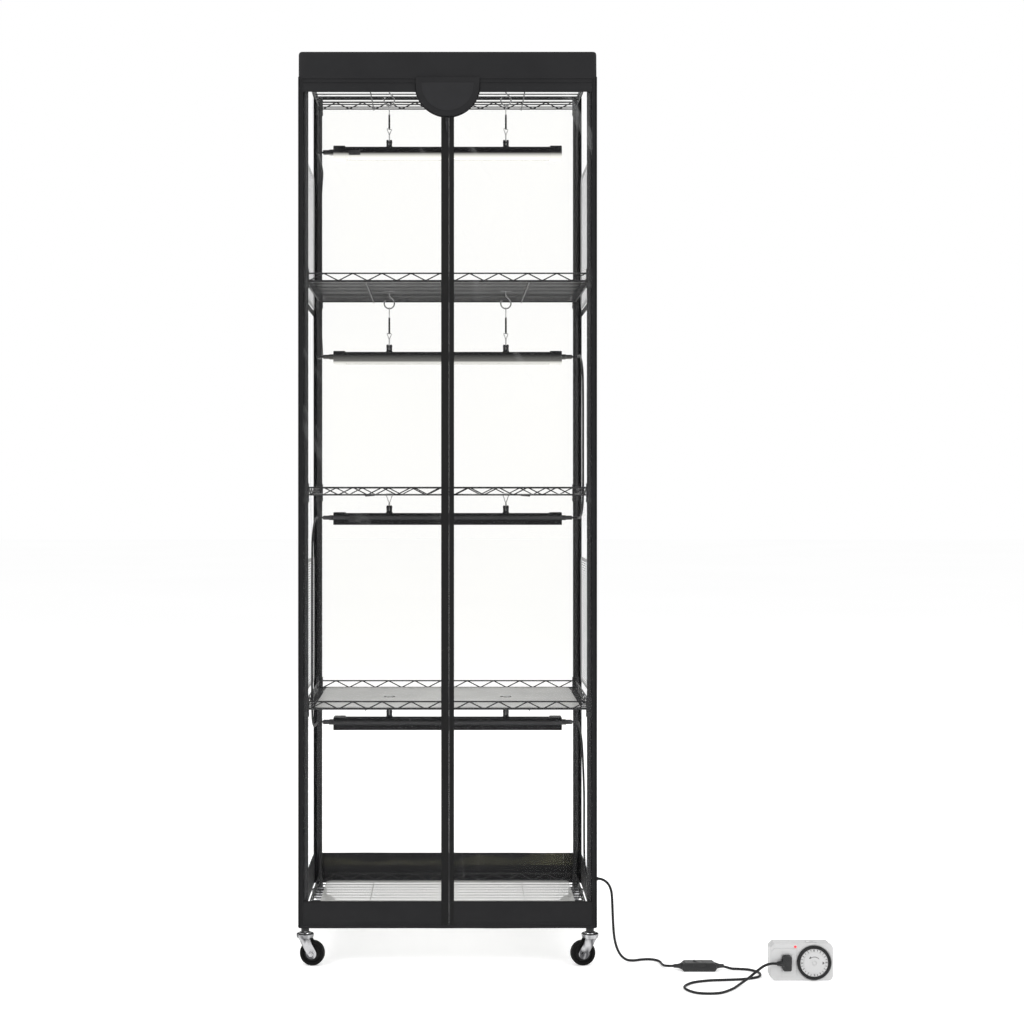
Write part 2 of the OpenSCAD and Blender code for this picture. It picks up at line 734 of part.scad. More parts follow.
module caster_fork(sx, sy) {
    axle_z = wheel_d / 2;
    leg_y = wheel_w / 2 + 1.2;
    cup_r = 17.5;
    bore = stem_d / 2 + run_gap;
    color("silver") in_caster(sx, sy) union() {
        rotate_extrude() polygon([[bore, fork_z], [cup_r - 2.5, fork_z], [cup_r, fork_z + 4],
            [cup_r, fork_z + fork_h], [cup_r - 1.9, fork_z + fork_h], [cup_r - 1.9, fork_z + 6],
            [bore, fork_z + 6]]);
        for (s = [-1, 1]) {
            translate([0, s > 0 ? leg_y + fork_t : -leg_y, 0])
                rotate([90, 0, 0]) linear_extrude(fork_t) union() {
                    polygon([[-11.5, fork_z + 2], [11.5, fork_z + 2], [trail + 10.4, axle_z + 3],
                        [trail + 8, axle_z - 6], [trail - 8, axle_z - 6],
                        [trail - 10.9, axle_z + 1]]);
                    translate([trail, axle_z]) circle(r = 11);
                }
            translate([trail, s > 0 ? leg_y + fork_t + 2.2 : -leg_y - fork_t + 0.2, axle_z])
                rotate([90, 0, 0]) cylinder(d = 1.7 * axle_d, h = 2.4, $fn = 6);
        }
        translate([trail, leg_y + fork_t + 3, axle_z]) rotate([90, 0, 0])
            cylinder(d = axle_d, h = 2 * (leg_y + fork_t + 3));
    }
}

// Wheel with a hub, a thin web and a tread with chamfered shoulders
module caster_wheel(sx, sy) {
    r = wheel_d / 2;
    w = wheel_w / 2;
    bore = axle_d / 2 + run_gap;
    side = [[bore, w], [bore + 5, w], [bore + 5, w - 3], [r - 8, w - 3], [r - 7, w - 0.6],
        [r - 2, w - 0.6], [r, w - 3]];
    color("black") in_caster(sx, sy) translate([trail, 0, r]) rotate([90, 0, 0])
        rotate_extrude() polygon(concat(side,
            [for (k = [len(side) - 1:-1:0]) [side[k][0], -side[k][1]]]));
}

module caster_fork_fl() { caster_fork(-1, -1); }
module caster_fork_fr() { caster_fork(1, -1); }
module caster_fork_rl() { caster_fork(-1, 1); }
module caster_fork_rr() { caster_fork(1, 1); }
module caster_wheel_fl() { caster_wheel(-1, -1); }
module caster_wheel_fr() { caster_wheel(1, -1); }
module caster_wheel_rl() { caster_wheel(-1, 1); }
module caster_wheel_rr() { caster_wheel(1, 1); }

// Cord, inline switch, plug and timer, lying on the floor at the right

// Grommet with a flange on each side of the film and a nose that grips the cord
module cord_gland() {
    bore = cord_d + 0.2;
    color("black") translate([0, gland_y, gland_z]) rotate([0, 90, 0]) difference() {
        union() {
            translate([0, 0, film_x - film_t - 1.4]) cylinder(d = bore + 6.8, h = 1.4);
            translate([0, 0, film_x - 1]) cylinder(d = bore + 3.4, h = 2);
            translate([0, 0, film_x]) cylinder(d = bore + 7.8, h = 2.2);
            translate([0, 0, film_x + 2]) cylinder(d = bore + 3.2, h = 5);
        }
        translate([0, 0, film_x - 5]) cylinder(d = bore, h = 20);
    }
}

cord_a = [[297, gland_y, gland_z], [304, gland_y, gland_z], [311, -165, 167.2],
    [318, -165.4, 164.4], [324, -166, 159.6], [328.6, -167, 153], [331.4, -168, 145],
    [333, -169.4, 134], [334, -172, 108], [334.8, -175, 82], [336.6, -177.5, 56],
    [341, -178.6, 35], [349, -178.2, 18], [361, -175, 7], [376, -168, 3], [392, -161, 2.7],
    [407, -158, 2.7], [416, -159.8, 2.7], [423.4, -164.6, 2.7], [428.2, -171.8, 2.7],
    [430, -180.5, 2.8], [430.8, -192, 3.2], [432, -204, 4.2], [434, -213, 5.4],
    [439, -221, 7], [447, -226.4, 8.4], [456, -228, 9], [463.8, -228, 9]];
cord_b = [[536.2, -228, 9], [545, -228, 8.6], [554, -228, 6.6], [566, -227.2, 3.4],
    [580, -227.4, 2.7], [600, -233, 2.7], [615, -252, 2.7], [610, -280, 2.7],
    [580, -296, 2.7], [542, -302, 2.7], [505, -307, 2.7], [471, -323, 2.7],
    [454, -354, 2.7], [473, -386, 2.7], [514, -388, 2.7], [544, -362, 2.7],
    [563, -334, 3.4], [582, -318, 10], [598, -311, 20], [612, -309, 30],
    [622, -309, 34.6], [631, -309, 36.2], [639.3, -309, 36.2]];

module power_cord_a() {
    color("black") tube(spline(cord_a, 2), cord_d / 2, [0.31, 0.2, 0.93]);
}

module power_cord_b() {
    color("black") tube(spline(cord_b, 3), cord_d / 2, [0.31, 0.2, 0.93]);
}

module inline_switch() {
    l = inline_l / 2;
    w = inline_w / 2;
    h = inline_h;
    color("black") translate(inline_at) difference() {
        union() {
            intersection() {
                plate([[-l, 3], [-l + 3, 0.2], [l - 3, 0.2], [l, 3], [l, h - 4], [l - 6, h],
                    [-l + 6, h], [-l, h - 4]], -w, w);
                linear_extrude(h + 1) polygon(round_rect(inline_l, inline_w, 7));
            }
            for (s = [-1, 1])
                translate([s > 0 ? l - 1 : -36, 0, 9]) rotate([0, 90, 0])
                    cylinder(d = cord_d + 3, h = 37 - l);
        }
        box(-10.4, 10.4, -5.4, 5.4, h / 2, h + 1);
    }
}

module inline_rocker() {
    color("dimgray") translate(inline_at + [0, 0, inline_h - 1.6]) rotate([0, 7, 0]) plate(
        [[-9.6, 3.2], [0, 1.4], [9.6, 3.2], [9.6, -2.6], [4, -4.4], [-4, -4.4], [-9.6, -2.6]],
        -5.3, 5.3);
}

// The timer lies on its long side: its length runs along X with the dial to the right
module timer_frame() {
    translate(timer_at) children();
}

module at_dial(y) {
    translate([dial_u, y, 0]) rotate([90, 0, 0]) children();
}

// Flat plug body with rounded corners and a tapered relief round the cord
module plug() {
    u = -30;
    color("black") timer_frame() union() {
        plate([for (p = round_rect(17, 29, 3)) [p[0] + u, p[1]]], -13, 0);
        translate([u - 20.5, -9, 0]) rotate([0, 90, 0]) cylinder(r1 = 3.6, r2 = 4, h = 14);
        translate([u - 16, -9, 0]) rotate([0, 90, 0]) cylinder(r1 = 4, r2 = 6.4, h = 8);
    }
}

module timer_case() {
    l = timer_l / 2;
    w = timer_w / 2;
    panel = dial_u - pins_d / 2 - 1.4;
    color("white") timer_frame() difference() {
        union() {
            plate(concat([[-l, w - 8], [-l, -w + 8], [-l + 8, -w]],
                arc(l - 10, -w + 10, 10, 270, 360, 5), arc(l - 10, w - 10, 10, 0, 90, 5),
                [[-l + 8, w]]), 0, timer_t);
            plate([[-l + 0.5, w - 16], [-l + 0.5, -w + 16], [-l + 7.5, -w + 9],
                [panel, -w + 9], [panel, w - 9], [-l + 7.5, w - 9]], -1.6, 1);
            at_dial(0) cylinder(d = 8 - 2 * run_gap, h = 5.4);
            for (z = [-6.4, 6.4])
                box(-38, -31, timer_t - 1, timer_t + 17, z - 0.8, z + 0.8);
            translate([-20, timer_t - 1, 0]) rotate([-90, 0, 0]) cylinder(d = 4.8, h = 19);
        }
        plate([[-39, -15], [-21, -15], [-21, 15], [-39, 15]], -3, 0);
        box(-l + 1.5, -38, -3, 0, -9.6, 9.6);
        box(9, 38, 8, 18, w - 2.6, w + 4);
    }
}

module timer_pins() {
    n = 96;
    r = pins_d / 2;
    outer = [for (i = [0:2 * n - 1])
        let (a = 180 * (i + 0.5) / n, q = (floor(i / 2) % 2 == 0) ? r : r - 1.6)
        [dial_u + q * cos(a), q * sin(a)]];
    color("black") timer_frame() difference() {
        plate(outer, -5.6, -0.3);
        at_dial(1) cylinder(d = dial_d + 0.02, h = 8);
    }
}

module timer_dial() {
    color("white") timer_frame() difference() {
        union() {
            at_dial(-0.3) cylinder(d = dial_d, h = 3.4);
            at_dial(-0.3) cylinder(d = dial_d - 12, h = 5);
        }
        at_dial(1) cylinder(d = 8, h = 9);
    }
}

module timer_mode_switch() {
    w = timer_w / 2;
    color("white") timer_frame() union() {
        box(10, 31, 8.1, 17.9, w - 2.4, w + 2.4);
        box(18, 23, 9, 17, w + 2, w + 3);
    }
}

posts();
shelf_1();
shelf_2();
shelf_3();
shelf_4();
shelf_5();
shelf_clips();
shelf_liners();
cover_header();
cover_top_film();
cover_side_film_left();
cover_side_film_right();
cover_rear_film();
cover_skirt();
cover_trims();
vent_meshes();
badge();
door_film_left();
door_film_right();
door_border_left();
door_border_right();
zip_slider();
zip_pull();
light_housing_1();
light_housing_2();
light_housing_3();
light_housing_4();
light_lens_1();
light_lens_2();
light_lens_3();
light_lens_4();
light_switch_1();
light_switch_2();
light_switch_3();
light_switch_4();
light_hanger_1();
light_hanger_2();
light_hanger_3();
light_hanger_4();
s_hooks();
jumper_leads();
caster_stems();
caster_fork_fl();
caster_fork_fr();
caster_fork_rl();
caster_fork_rr();
caster_wheel_fl();
caster_wheel_fr();
caster_wheel_rl();
caster_wheel_rr();
cord_gland();
power_cord_a();
power_cord_b();
inline_switch();
inline_rocker();
plug();
timer_case();
timer_pins();
timer_dial();
timer_mode_switch();
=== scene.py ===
# %% [markdown]
# An indoor greenhouse: a tower of wire shelves in a clear zip-up cover, on four casters,
# with four hanging grow lights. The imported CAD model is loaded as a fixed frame, and every
# piece below is built around it in the same place, in metres, with the front towards -Y.

# %% Load the frame
import math

import bmesh
import bpy
from mathutils import Matrix, Vector, noise


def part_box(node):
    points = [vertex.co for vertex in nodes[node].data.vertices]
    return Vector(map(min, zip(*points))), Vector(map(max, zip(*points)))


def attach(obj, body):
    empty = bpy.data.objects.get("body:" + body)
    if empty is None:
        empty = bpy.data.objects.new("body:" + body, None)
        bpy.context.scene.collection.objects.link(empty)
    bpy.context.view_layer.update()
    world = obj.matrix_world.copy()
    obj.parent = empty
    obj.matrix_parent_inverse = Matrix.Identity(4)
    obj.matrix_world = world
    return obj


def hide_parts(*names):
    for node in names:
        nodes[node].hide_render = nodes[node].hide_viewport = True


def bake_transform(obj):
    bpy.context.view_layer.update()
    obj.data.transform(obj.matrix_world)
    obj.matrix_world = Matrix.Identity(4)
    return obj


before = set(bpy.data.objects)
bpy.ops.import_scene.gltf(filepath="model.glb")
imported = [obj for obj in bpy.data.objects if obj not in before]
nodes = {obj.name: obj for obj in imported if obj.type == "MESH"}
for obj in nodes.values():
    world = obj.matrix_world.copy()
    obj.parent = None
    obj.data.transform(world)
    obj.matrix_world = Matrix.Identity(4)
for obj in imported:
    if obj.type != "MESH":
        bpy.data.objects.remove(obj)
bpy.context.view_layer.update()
MM = 0.001

# %% [markdown]
# The camera stands level in front of the cabinet, a little above its middle, as the
# photograph was taken. A lens shift frames the picture, so that the posts stay upright.

# %% Camera and view
scene = bpy.context.scene
scene.view_settings.view_transform = "Standard"
camera_data = bpy.data.cameras.new("camera")
camera_data.lens = 58.7
camera_data.shift_x = 0.0629
camera_data.shift_y = -0.0195
camera_data.clip_end = 100
camera = bpy.data.objects.new("camera", camera_data)
camera.location = (0, -3.553, 0.9525)
camera.rotation_euler = (math.radians(90), 0, 0)
scene.collection.objects.link(camera)
scene.camera = camera

# %% [markdown]
# The room is white all round, as in a product picture. The world gives most of the light.
# Three large soft lamps, above left, above right and behind, put a gentle shade on round
# parts. What the camera sees of the world is plain white.

# %% Room and lamps
world = bpy.data.worlds.new("studio")
scene.world = world
world.use_nodes = True
wn = world.node_tree.nodes
wl = world.node_tree.links
wn.clear()
room_light = wn.new("ShaderNodeBackground")
room_light.inputs["Color"].default_value = (1, 1, 1, 1)
room_light.inputs["Strength"].default_value = 0.62
room_white = wn.new("ShaderNodeBackground")
room_white.inputs["Color"].default_value = (1, 1, 1, 1)
room_white.inputs["Strength"].default_value = 1.0
ray = wn.new("ShaderNodeLightPath")
seen = wn.new("ShaderNodeMath")
seen.operation = "MAXIMUM"
wl.new(ray.outputs["Is Camera Ray"], seen.inputs[0])
wl.new(ray.outputs["Is Transmission Ray"], seen.inputs[1])
room_mix = wn.new("ShaderNodeMixShader")
wl.new(seen.outputs[0], room_mix.inputs["Fac"])
wl.new(room_light.outputs[0], room_mix.inputs[1])
wl.new(room_white.outputs[0], room_mix.inputs[2])
world_out = wn.new("ShaderNodeOutputWorld")
wl.new(room_mix.outputs[0], world_out.inputs["Surface"])


def soft_lamp(name, place, target, size, watts):
    """A large square lamp that shines from place towards target."""
    data = bpy.data.lights.new(name, "AREA")
    data.size = size
    data.energy = watts
    lamp = bpy.data.objects.new(name, data)
    lamp.location = place
    direction = Vector(target) - Vector(place)
    lamp.rotation_euler = direction.to_track_quat("-Z", "Y").to_euler()
    scene.collection.objects.link(lamp)


soft_lamp("lamp_left", (-2.6, -2.4, 3.2), (0, 0, 0.9), 2.4, 62)
soft_lamp("lamp_right", (2.9, -2.2, 2.8), (0, 0, 0.9), 2.4, 52)
soft_lamp("lamp_back", (0.4, 3.2, 3.0), (0, 0, 0.9), 2.6, 40)

# %% [markdown]
# Shader maths reads best as plain expressions. Signal wraps one socket, so that
# `1 - mask` or `grain * 0.2` adds the Math node by itself. Finish owns one material and
# has a single method that adds any node.


# %% Signal and Finish
class Signal:
    """One output socket that can be used in sums and products."""

    def __init__(self, finish, socket):
        self.finish = finish
        self.socket = socket

    def _math(self, operation, *terms):
        return self.finish.node("ShaderNodeMath", {"operation": operation}, *terms)

    def __add__(self, other):
        return self._math("ADD", self, other)

    __radd__ = __add__

    def __mul__(self, other):
        return self._math("MULTIPLY", self, other)

    def __sub__(self, other):
        return self._math("SUBTRACT", self, other)

    def __rsub__(self, other):
        return self._math("SUBTRACT", other, self)

    def clamp(self):
        return self._math("MINIMUM", self._math("MAXIMUM", self, 0.0), 1.0)

    def above(self, edge, soft):
        """0 below edge and 1 above it, with a soft step."""
        return ((self - edge) * (1 / soft) + 0.5).clamp()

    def wave(self, pitch):
        """A wave of this pitch, from 0 to 1."""
        return self._math("SINE", self * (2 * math.pi / pitch)) * 0.5 + 0.5


class Finish:
    """A material with one Principled shader, built from expressions."""

    def __init__(self, name, **fixed):
        self.material = bpy.data.materials.new(name)
        self.material.use_nodes = True
        self.nodes = self.material.node_tree.nodes
        self.links = self.material.node_tree.links
        self.bsdf = self.nodes["Principled BSDF"]
        for key, value in fixed.items():
            self.set(key.replace("_", " ").title().replace("Ior", "IOR"), value)

    def set(self, key, value):
        if isinstance(value, Signal):
            self.links.new(value.socket, self.bsdf.inputs[key])
        elif isinstance(value, tuple) and len(value) == 3:
            self.bsdf.inputs[key].default_value = (*value, 1)
        else:
            self.bsdf.inputs[key].default_value = value

    def node(self, kind, settings=None, *inputs, output=0, **named):
        made = self.nodes.new(kind)
        for key, value in (settings or {}).items():
            setattr(made, key, value)
        pairs = list(zip(made.inputs, inputs))
        pairs += [(made.inputs[key.replace("_", " ").title()], value) for key, value in named.items()]
        for socket, value in pairs:
            if isinstance(value, Signal):
                self.links.new(value.socket, socket)
            elif value is not None:
                socket.default_value = value
        return Signal(self, made.outputs[output])

    def place(self, scale=(1, 1, 1), turn=(0, 0, 0)):
        """Object coordinates, stretched and turned."""
        here = self.node("ShaderNodeTexCoord", None, output="Object")
        return self.node("ShaderNodeMapping", None, Vector=here, Scale=scale, Rotation=turn)

    def axis(self, name):
        parts = self.node("ShaderNodeSeparateXYZ", None, self.place())
        return Signal(self, parts.socket.node.outputs[name])

    def grain(self, scale, detail=2.0, stretch=(1, 1, 1), turn=(0, 0, 0)):
        """Noise from 0 to 1, about scale blobs to the metre."""
        return self.node("ShaderNodeTexNoise", None, Vector=self.place(stretch, turn),
                         Scale=scale, Detail=detail)

    def blend(self, share, low, high):
        """A colour between low and high."""
        made = self.nodes.new("ShaderNodeMix")
        made.data_type = "RGBA"
        self.links.new(share.socket, made.inputs[0])
        for socket, value in ((made.inputs[6], low), (made.inputs[7], high)):
            if isinstance(value, Signal):
                self.links.new(value.socket, socket)
            else:
                socket.default_value = (*value, 1)
        return Signal(self, made.outputs[2])

    def bump(self, height, depth):
        self.set("Normal", self.node("ShaderNodeBump", None, Height=height, Distance=depth,
                                     Strength=1.0))
        return self


# %% [markdown]
# The frame is steel wire and tube under black powder coat: a hard satin skin with a fine
# orange-peel texture and slow blotches that are a shade lighter.

# %% Powder coat and other metals
def powder_coat():
    finish = Finish("powder_coat", Specular_Ior_Level=0.35)
    blotch = finish.grain(9, 3)
    finish.set("Base Color", finish.blend(blotch, (0.007, 0.007, 0.008), (0.013, 0.013, 0.014)))
    finish.set("Roughness", 0.34 + finish.grain(60, 2) * 0.14)
    return finish.bump(finish.grain(1400, 2), 0.00008).material


def bright_metal(name, low, high, rough, streak):
    """Plated metal with faint drawing marks along the wire or the pressing."""
    finish = Finish(name, Metallic=1.0)
    marks = finish.grain(220, 3, streak)
    finish.set("Base Color", finish.blend(marks, low, high))
    finish.set("Roughness", rough + marks * 0.14)
    return finish.bump(finish.grain(700, 2, streak), 0.00003).material


def mirror_plate():
    """Bright plating on pressed parts: a painted reflection of broad darks and lights, as if a room were
    mirrored.
    """
    finish = Finish("zinc_plate", Metallic=1.0)
    # Painted reflection: broad darks and lights in the colour stand in for a mirrored room.
    painted_reflection = finish.grain(46, 1, (1.6, 1, 0.7)).above(0.5, 0.16)
    finish.set("Base Color", finish.blend(painted_reflection, (0.09, 0.09, 0.095), (0.5, 0.5, 0.51)))
    finish.set("Roughness", 0.16 + finish.grain(220, 3) * 0.12)
    return finish.bump(finish.grain(700, 2), 0.00003).material


coat = powder_coat()
chrome = bright_metal("chrome_wire", (0.13, 0.13, 0.13), (0.42, 0.42, 0.42), 0.12, (1, 1, 0.2))
zinc = mirror_plate()
dark_plate = bright_metal("dark_plate", (0.02, 0.02, 0.022), (0.06, 0.06, 0.064), 0.28, (1, 1, 0.2))
pale_wire = bright_metal("pale_wire", (0.3, 0.3, 0.3), (0.6, 0.6, 0.6), 0.25, (1, 1, 0.2))
brass = bright_metal("brass_pin", (0.7, 0.52, 0.25), (0.85, 0.66, 0.36), 0.22, (1, 1, 0.3))


# %% [markdown]
# Moulded plastic has a faint spark-eroded grain and a little colour drift. The same recipe
# serves the black fittings, the white timer and the badge, with other numbers.

# %% Plastics and rubber
def moulded(name, low, high, rough, grain_depth=0.00006, specular=0.5):
    finish = Finish(name, Specular_Ior_Level=specular)
    finish.set("Base Color", finish.blend(finish.grain(35, 3), low, high))
    finish.set("Roughness", rough + finish.grain(160, 2) * 0.12)
    return finish.bump(finish.grain(2600, 2), grain_depth).material


black_plastic = moulded("black_plastic", (0.008, 0.008, 0.009), (0.015, 0.015, 0.016), 0.42)
badge_gloss = moulded("badge_gloss", (0.008, 0.008, 0.009), (0.014, 0.014, 0.015), 0.6, specular=0.22)
badge_field = moulded("badge_field", (0.012, 0.012, 0.013), (0.018, 0.018, 0.02), 0.3, 0.00002, 0.3)
white_plastic = moulded("white_plastic", (0.56, 0.56, 0.56), (0.62, 0.62, 0.62), 0.3)
grey_plastic = moulded("grey_plastic", (0.04, 0.04, 0.04), (0.07, 0.07, 0.07), 0.4)
cord_skin = moulded("cord_skin", (0.008, 0.008, 0.009), (0.014, 0.014, 0.015), 0.45, 0.00003, 0.25)
tyre_rubber = moulded("tyre_rubber", (0.002, 0.002, 0.002), (0.005, 0.005, 0.005), 0.5, 0.00012, 0.12)
wheel_hub = moulded("wheel_hub", (0.003, 0.003, 0.003), (0.007, 0.007, 0.007), 0.45, 0.00006, 0.2)
red_lamp = Finish("red_lamp", Base_Color=(0.75, 0.02, 0.03), Roughness=0.2, Coat_Weight=0.5)
red_lamp.set("Emission Color", red_lamp.blend(red_lamp.grain(90), (0.9, 0.03, 0.04), (1, 0.1, 0.1)))
red_lamp.set("Emission Strength", 0.6)
red_lamp = red_lamp.material


# %% [markdown]
# The opaque parts of the cover are black coated cloth. Two crossed waves make the weave,
# and a slow noise in the colour paints the soft light and shade of cloth that isn't quite flat.

# %% Coated cloth
def coated_cloth(name, low, high):
    finish = Finish(name, Specular_Ior_Level=0.2, Sheen_Weight=0.05, Sheen_Roughness=0.5)
    across = finish.axis("X").wave(0.0011) + finish.axis("Y").wave(0.0011)
    weave = across * 0.5 * finish.axis("Z").wave(0.0011)
    # The slow noise in the colour is painted light and shade of uneven cloth; the weave is the cloth's own
    # pattern.
    finish.set("Base Color", finish.blend(finish.grain(14, 4) * 0.7 + weave * 0.3, low, high))
    finish.set("Roughness", 0.62 + finish.grain(40, 2) * 0.14)
    return finish.bump(weave + finish.grain(24, 3), 0.0001).material


cloth = coated_cloth("coated_cloth", (0.008, 0.008, 0.009), (0.016, 0.016, 0.017))
piping = coated_cloth("piping", (0.004, 0.004, 0.005), (0.01, 0.01, 0.011))
thread = coated_cloth("thread", (0.01, 0.01, 0.011), (0.018, 0.018, 0.019))
stile_cloth = coated_cloth("stile_cloth", (0.003, 0.003, 0.003), (0.008, 0.008, 0.008))


# %% [markdown]
# The clear panels are soft vinyl, almost invisible seen straight on. Handling leaves faint
# milky creases, and broad slanting streaks on the doors are painted reflections of the room's
# lamps. The panel lets nearly everything through, so that what is behind it stays sharp and dark.
# The side and roof films have more creases, in grey, that show against the white room, and
# the rear film has a faint warm tint.

# %% Clear film, liner and net
def clear_film(name, haze, crease, streak, tint=(0.96, 0.97, 0.97), more=0.0):
    finish = Finish(name, Base_Color=tint, Roughness=0.06)
    fold = finish.grain(5, 3, (9, 9, 0.8), (0.0, 0.5, 0.0)).above(0.68 - more, 0.12)
    fold = fold * finish.grain(2.4, 1).above(0.56 - more, 0.2)
    # Painted reflection: the slanting sheen streaks below stand in for the room's lamps mirrored in the
    # film.
    across = finish.axis("X") * 1.7 + finish.axis("Z")
    along = finish.axis("Z") * 1.7 - finish.axis("X")
    slant = finish.node("ShaderNodeCombineXYZ", None, across * 8, finish.axis("Y"), along * 0.4)
    sheen = finish.node("ShaderNodeTexNoise", None, Vector=slant, Scale=1.7, Detail=2.0)
    sheen = sheen.above(0.66, 0.06) * finish.axis("Z").above(1.0, 0.8)
    finish.set("Alpha", haze + fold * crease + sheen * streak)
    return finish.bump(finish.grain(6, 3, (3, 3, 0.6), (0, 0.5, 0)), 0.004).material


door_vinyl = clear_film("door_vinyl", 0.003, 0.03, 0.028)
side_vinyl = clear_film("side_vinyl", 0.006, 0.2, 0.0, (0.5, 0.52, 0.53), 0.1)
rear_vinyl = Finish("rear_vinyl", Roughness=0.3)
rear_vinyl.set("Base Color", rear_vinyl.blend(rear_vinyl.grain(2), (1, 0.97, 0.5), (1, 0.98, 0.65)))
rear_vinyl.set("Alpha", 0.022 + rear_vinyl.grain(3) * 0.012)
rear_vinyl = rear_vinyl.material
liner_sheet = Finish("liner_sheet", Roughness=0.45, Specular_Ior_Level=0.4)
liner_sheet.set("Base Color", liner_sheet.blend(liner_sheet.grain(7, 2), (0.7, 0.7, 0.68),
                                                (0.8, 0.8, 0.78)))
liner_sheet.set("Alpha", 0.3 + liner_sheet.grain(11, 3) * 0.14)
liner_sheet = liner_sheet.bump(liner_sheet.grain(90, 2), 0.0003).material
net_thread = moulded("net_thread", (0.14, 0.14, 0.15), (0.22, 0.22, 0.22), 0.6)
net_edge = moulded("net_edge", (0.5, 0.5, 0.5), (0.6, 0.6, 0.6), 0.5)

# %% [markdown]
# Most pieces are turned on an axis, cut from a flat outline, bent from wire or blocked
# out with soft edges. Each kind of work gets one helper that uses Blender's own operators,
# and `piece` turns the result into an object that rides on its CAD body.


# %% Helpers that make pieces
def as_object(name, bm, finishes, smooth=35):
    """An object of the scene, with its place in its mesh."""
    mesh = bpy.data.meshes.new(name)
    bm.to_mesh(mesh)
    bm.free()
    for finish in finishes if isinstance(finishes, (list, tuple)) else [finishes]:
        mesh.materials.append(finish)
    if smooth:
        mesh.shade_smooth()
        mesh.set_sharp_from_angle(angle=math.radians(smooth))
    made = bpy.data.objects.new(name, mesh)
    scene.collection.objects.link(made)
    return made


def piece(name, bm, finishes, body, stands_for=(), smooth=35):
    """The finished object, riding on a CAD body."""
    made = as_object(name, bm, finishes, smooth)
    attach(made, body)
    if stands_for:
        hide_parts(*stands_for)
    print(name, len(made.data.vertices), "vertices")
    return made


def moved(at, degrees=0, axis="Z"):
    """A place in millimetres, and a turn about an axis through it."""
    return Matrix.Translation(Vector(at) * MM) @ Matrix.Rotation(math.radians(degrees), 4, axis)


def join(bm, other, matrix=None, index=0):
    """Adds another bmesh to bm, moved by matrix, with a material index."""
    if matrix is not None:
        bmesh.ops.transform(other, matrix=matrix, verts=other.verts)
    for face in other.faces:
        face.material_index = index
    mesh = bpy.data.meshes.new("part")
    other.to_mesh(mesh)
    other.free()
    bm.from_mesh(mesh)
    bpy.data.meshes.remove(mesh)


def outward(bm):
    bmesh.ops.remove_doubles(bm, verts=bm.verts, dist=1e-6)
    bmesh.ops.recalc_face_normals(bm, faces=bm.faces)
    return bm


def block(bm, x0, x1, y0, y1, z0, z1, soft=0.0, segments=2, index=0, matrix=None):
    """A block between these limits in millimetres, in either order, with soft edges."""
    new = bmesh.new()
    bmesh.ops.create_cube(new, size=1)
    size = Vector((abs(x1 - x0), abs(y1 - y0), abs(z1 - z0))) * MM
    bmesh.ops.scale(new, vec=size, verts=new.verts)
    bmesh.ops.translate(new, vec=Vector((x0 + x1, y0 + y1, z0 + z1)) * MM / 2, verts=new.verts)
    if soft:
        bmesh.ops.bevel(new, geom=new.edges[:], offset=soft * MM, segments=segments,
                        affect="EDGES", profile=0.5, material=-1)
    join(bm, new, matrix, index)


def plate(bm, outline, low, high, facing="Y", soft=0.0, index=0, matrix=None, segments=2):
    """An outline in millimetres, [x, z] for facing Y, [y, z] for X and [x, y] for Z."""
    new = bmesh.new()
    low, high = sorted((low, high))
    put = {"Y": lambda a, b: (a, low, b), "X": lambda a, b: (low, a, b), "Z": lambda a, b: (a, b, low)}
    face = new.faces.new([new.verts.new(Vector(put[facing](a, b)) * MM) for a, b in outline])
    step = Vector([(high - low) * MM if name == facing else 0 for name in "XYZ"])
    out = bmesh.ops.extrude_face_region(new, geom=[face])
    pushed = [v for v in out["geom"] if isinstance(v, bmesh.types.BMVert)]
    bmesh.ops.translate(new, vec=step, verts=pushed)
    if soft:
        rim = [e for e in new.edges if abs((e.verts[0].co - e.verts[1].co).dot(step)) < 1e-12]
        bmesh.ops.bevel(new, geom=rim, offset=soft * MM, segments=segments, affect="EDGES",
                        profile=0.5, material=-1, clamp_overlap=True)
    join(bm, outward(new), matrix, index)


def skin(bm, rings):
    """Faces between rings of points in millimetres that have the same number of points."""
    loops = [[bm.verts.new(Vector(point) * MM) for point in ring] for ring in rings]
    for a, b in zip(loops, loops[1:]):
        for i in range(len(a)):
            bm.faces.new((a[i - 1], a[i], b[i], b[i - 1]))
    return loops


def turned(bm, profile, place=(0, 0, 0), axis="Z", steps=40, index=0, angle=360, matrix=None):
    """A profile of (radius, height) in millimetres, spun about an axis through place."""
    new = bmesh.new()
    ring = [new.verts.new((r * MM, 0, h * MM)) for r, h in profile]
    edges = [new.edges.new(pair) for pair in zip(ring, ring[1:])]
    closed = angle == 360
    if not closed or profile[0][0] > 0:
        edges.append(new.edges.new((ring[-1], ring[0])))
    bmesh.ops.spin(new, geom=ring + edges, axis=(0, 0, 1), cent=(0, 0, 0), steps=steps,
                   angle=math.radians(angle), use_merge=closed)
    if not closed:
        rim = [e for e in new.edges if e.is_boundary]
        bmesh.ops.holes_fill(new, edges=rim, sides=0)
    turn = {"Z": Matrix.Identity(4), "X": Matrix.Rotation(math.radians(90), 4, "Y"),
            "Y": Matrix.Rotation(math.radians(-90), 4, "X")}[axis]
    move = Matrix.Translation(Vector(place) * MM) @ turn
    bmesh.ops.transform(new, matrix=move, verts=new.verts)
    join(bm, outward(new), matrix, index)


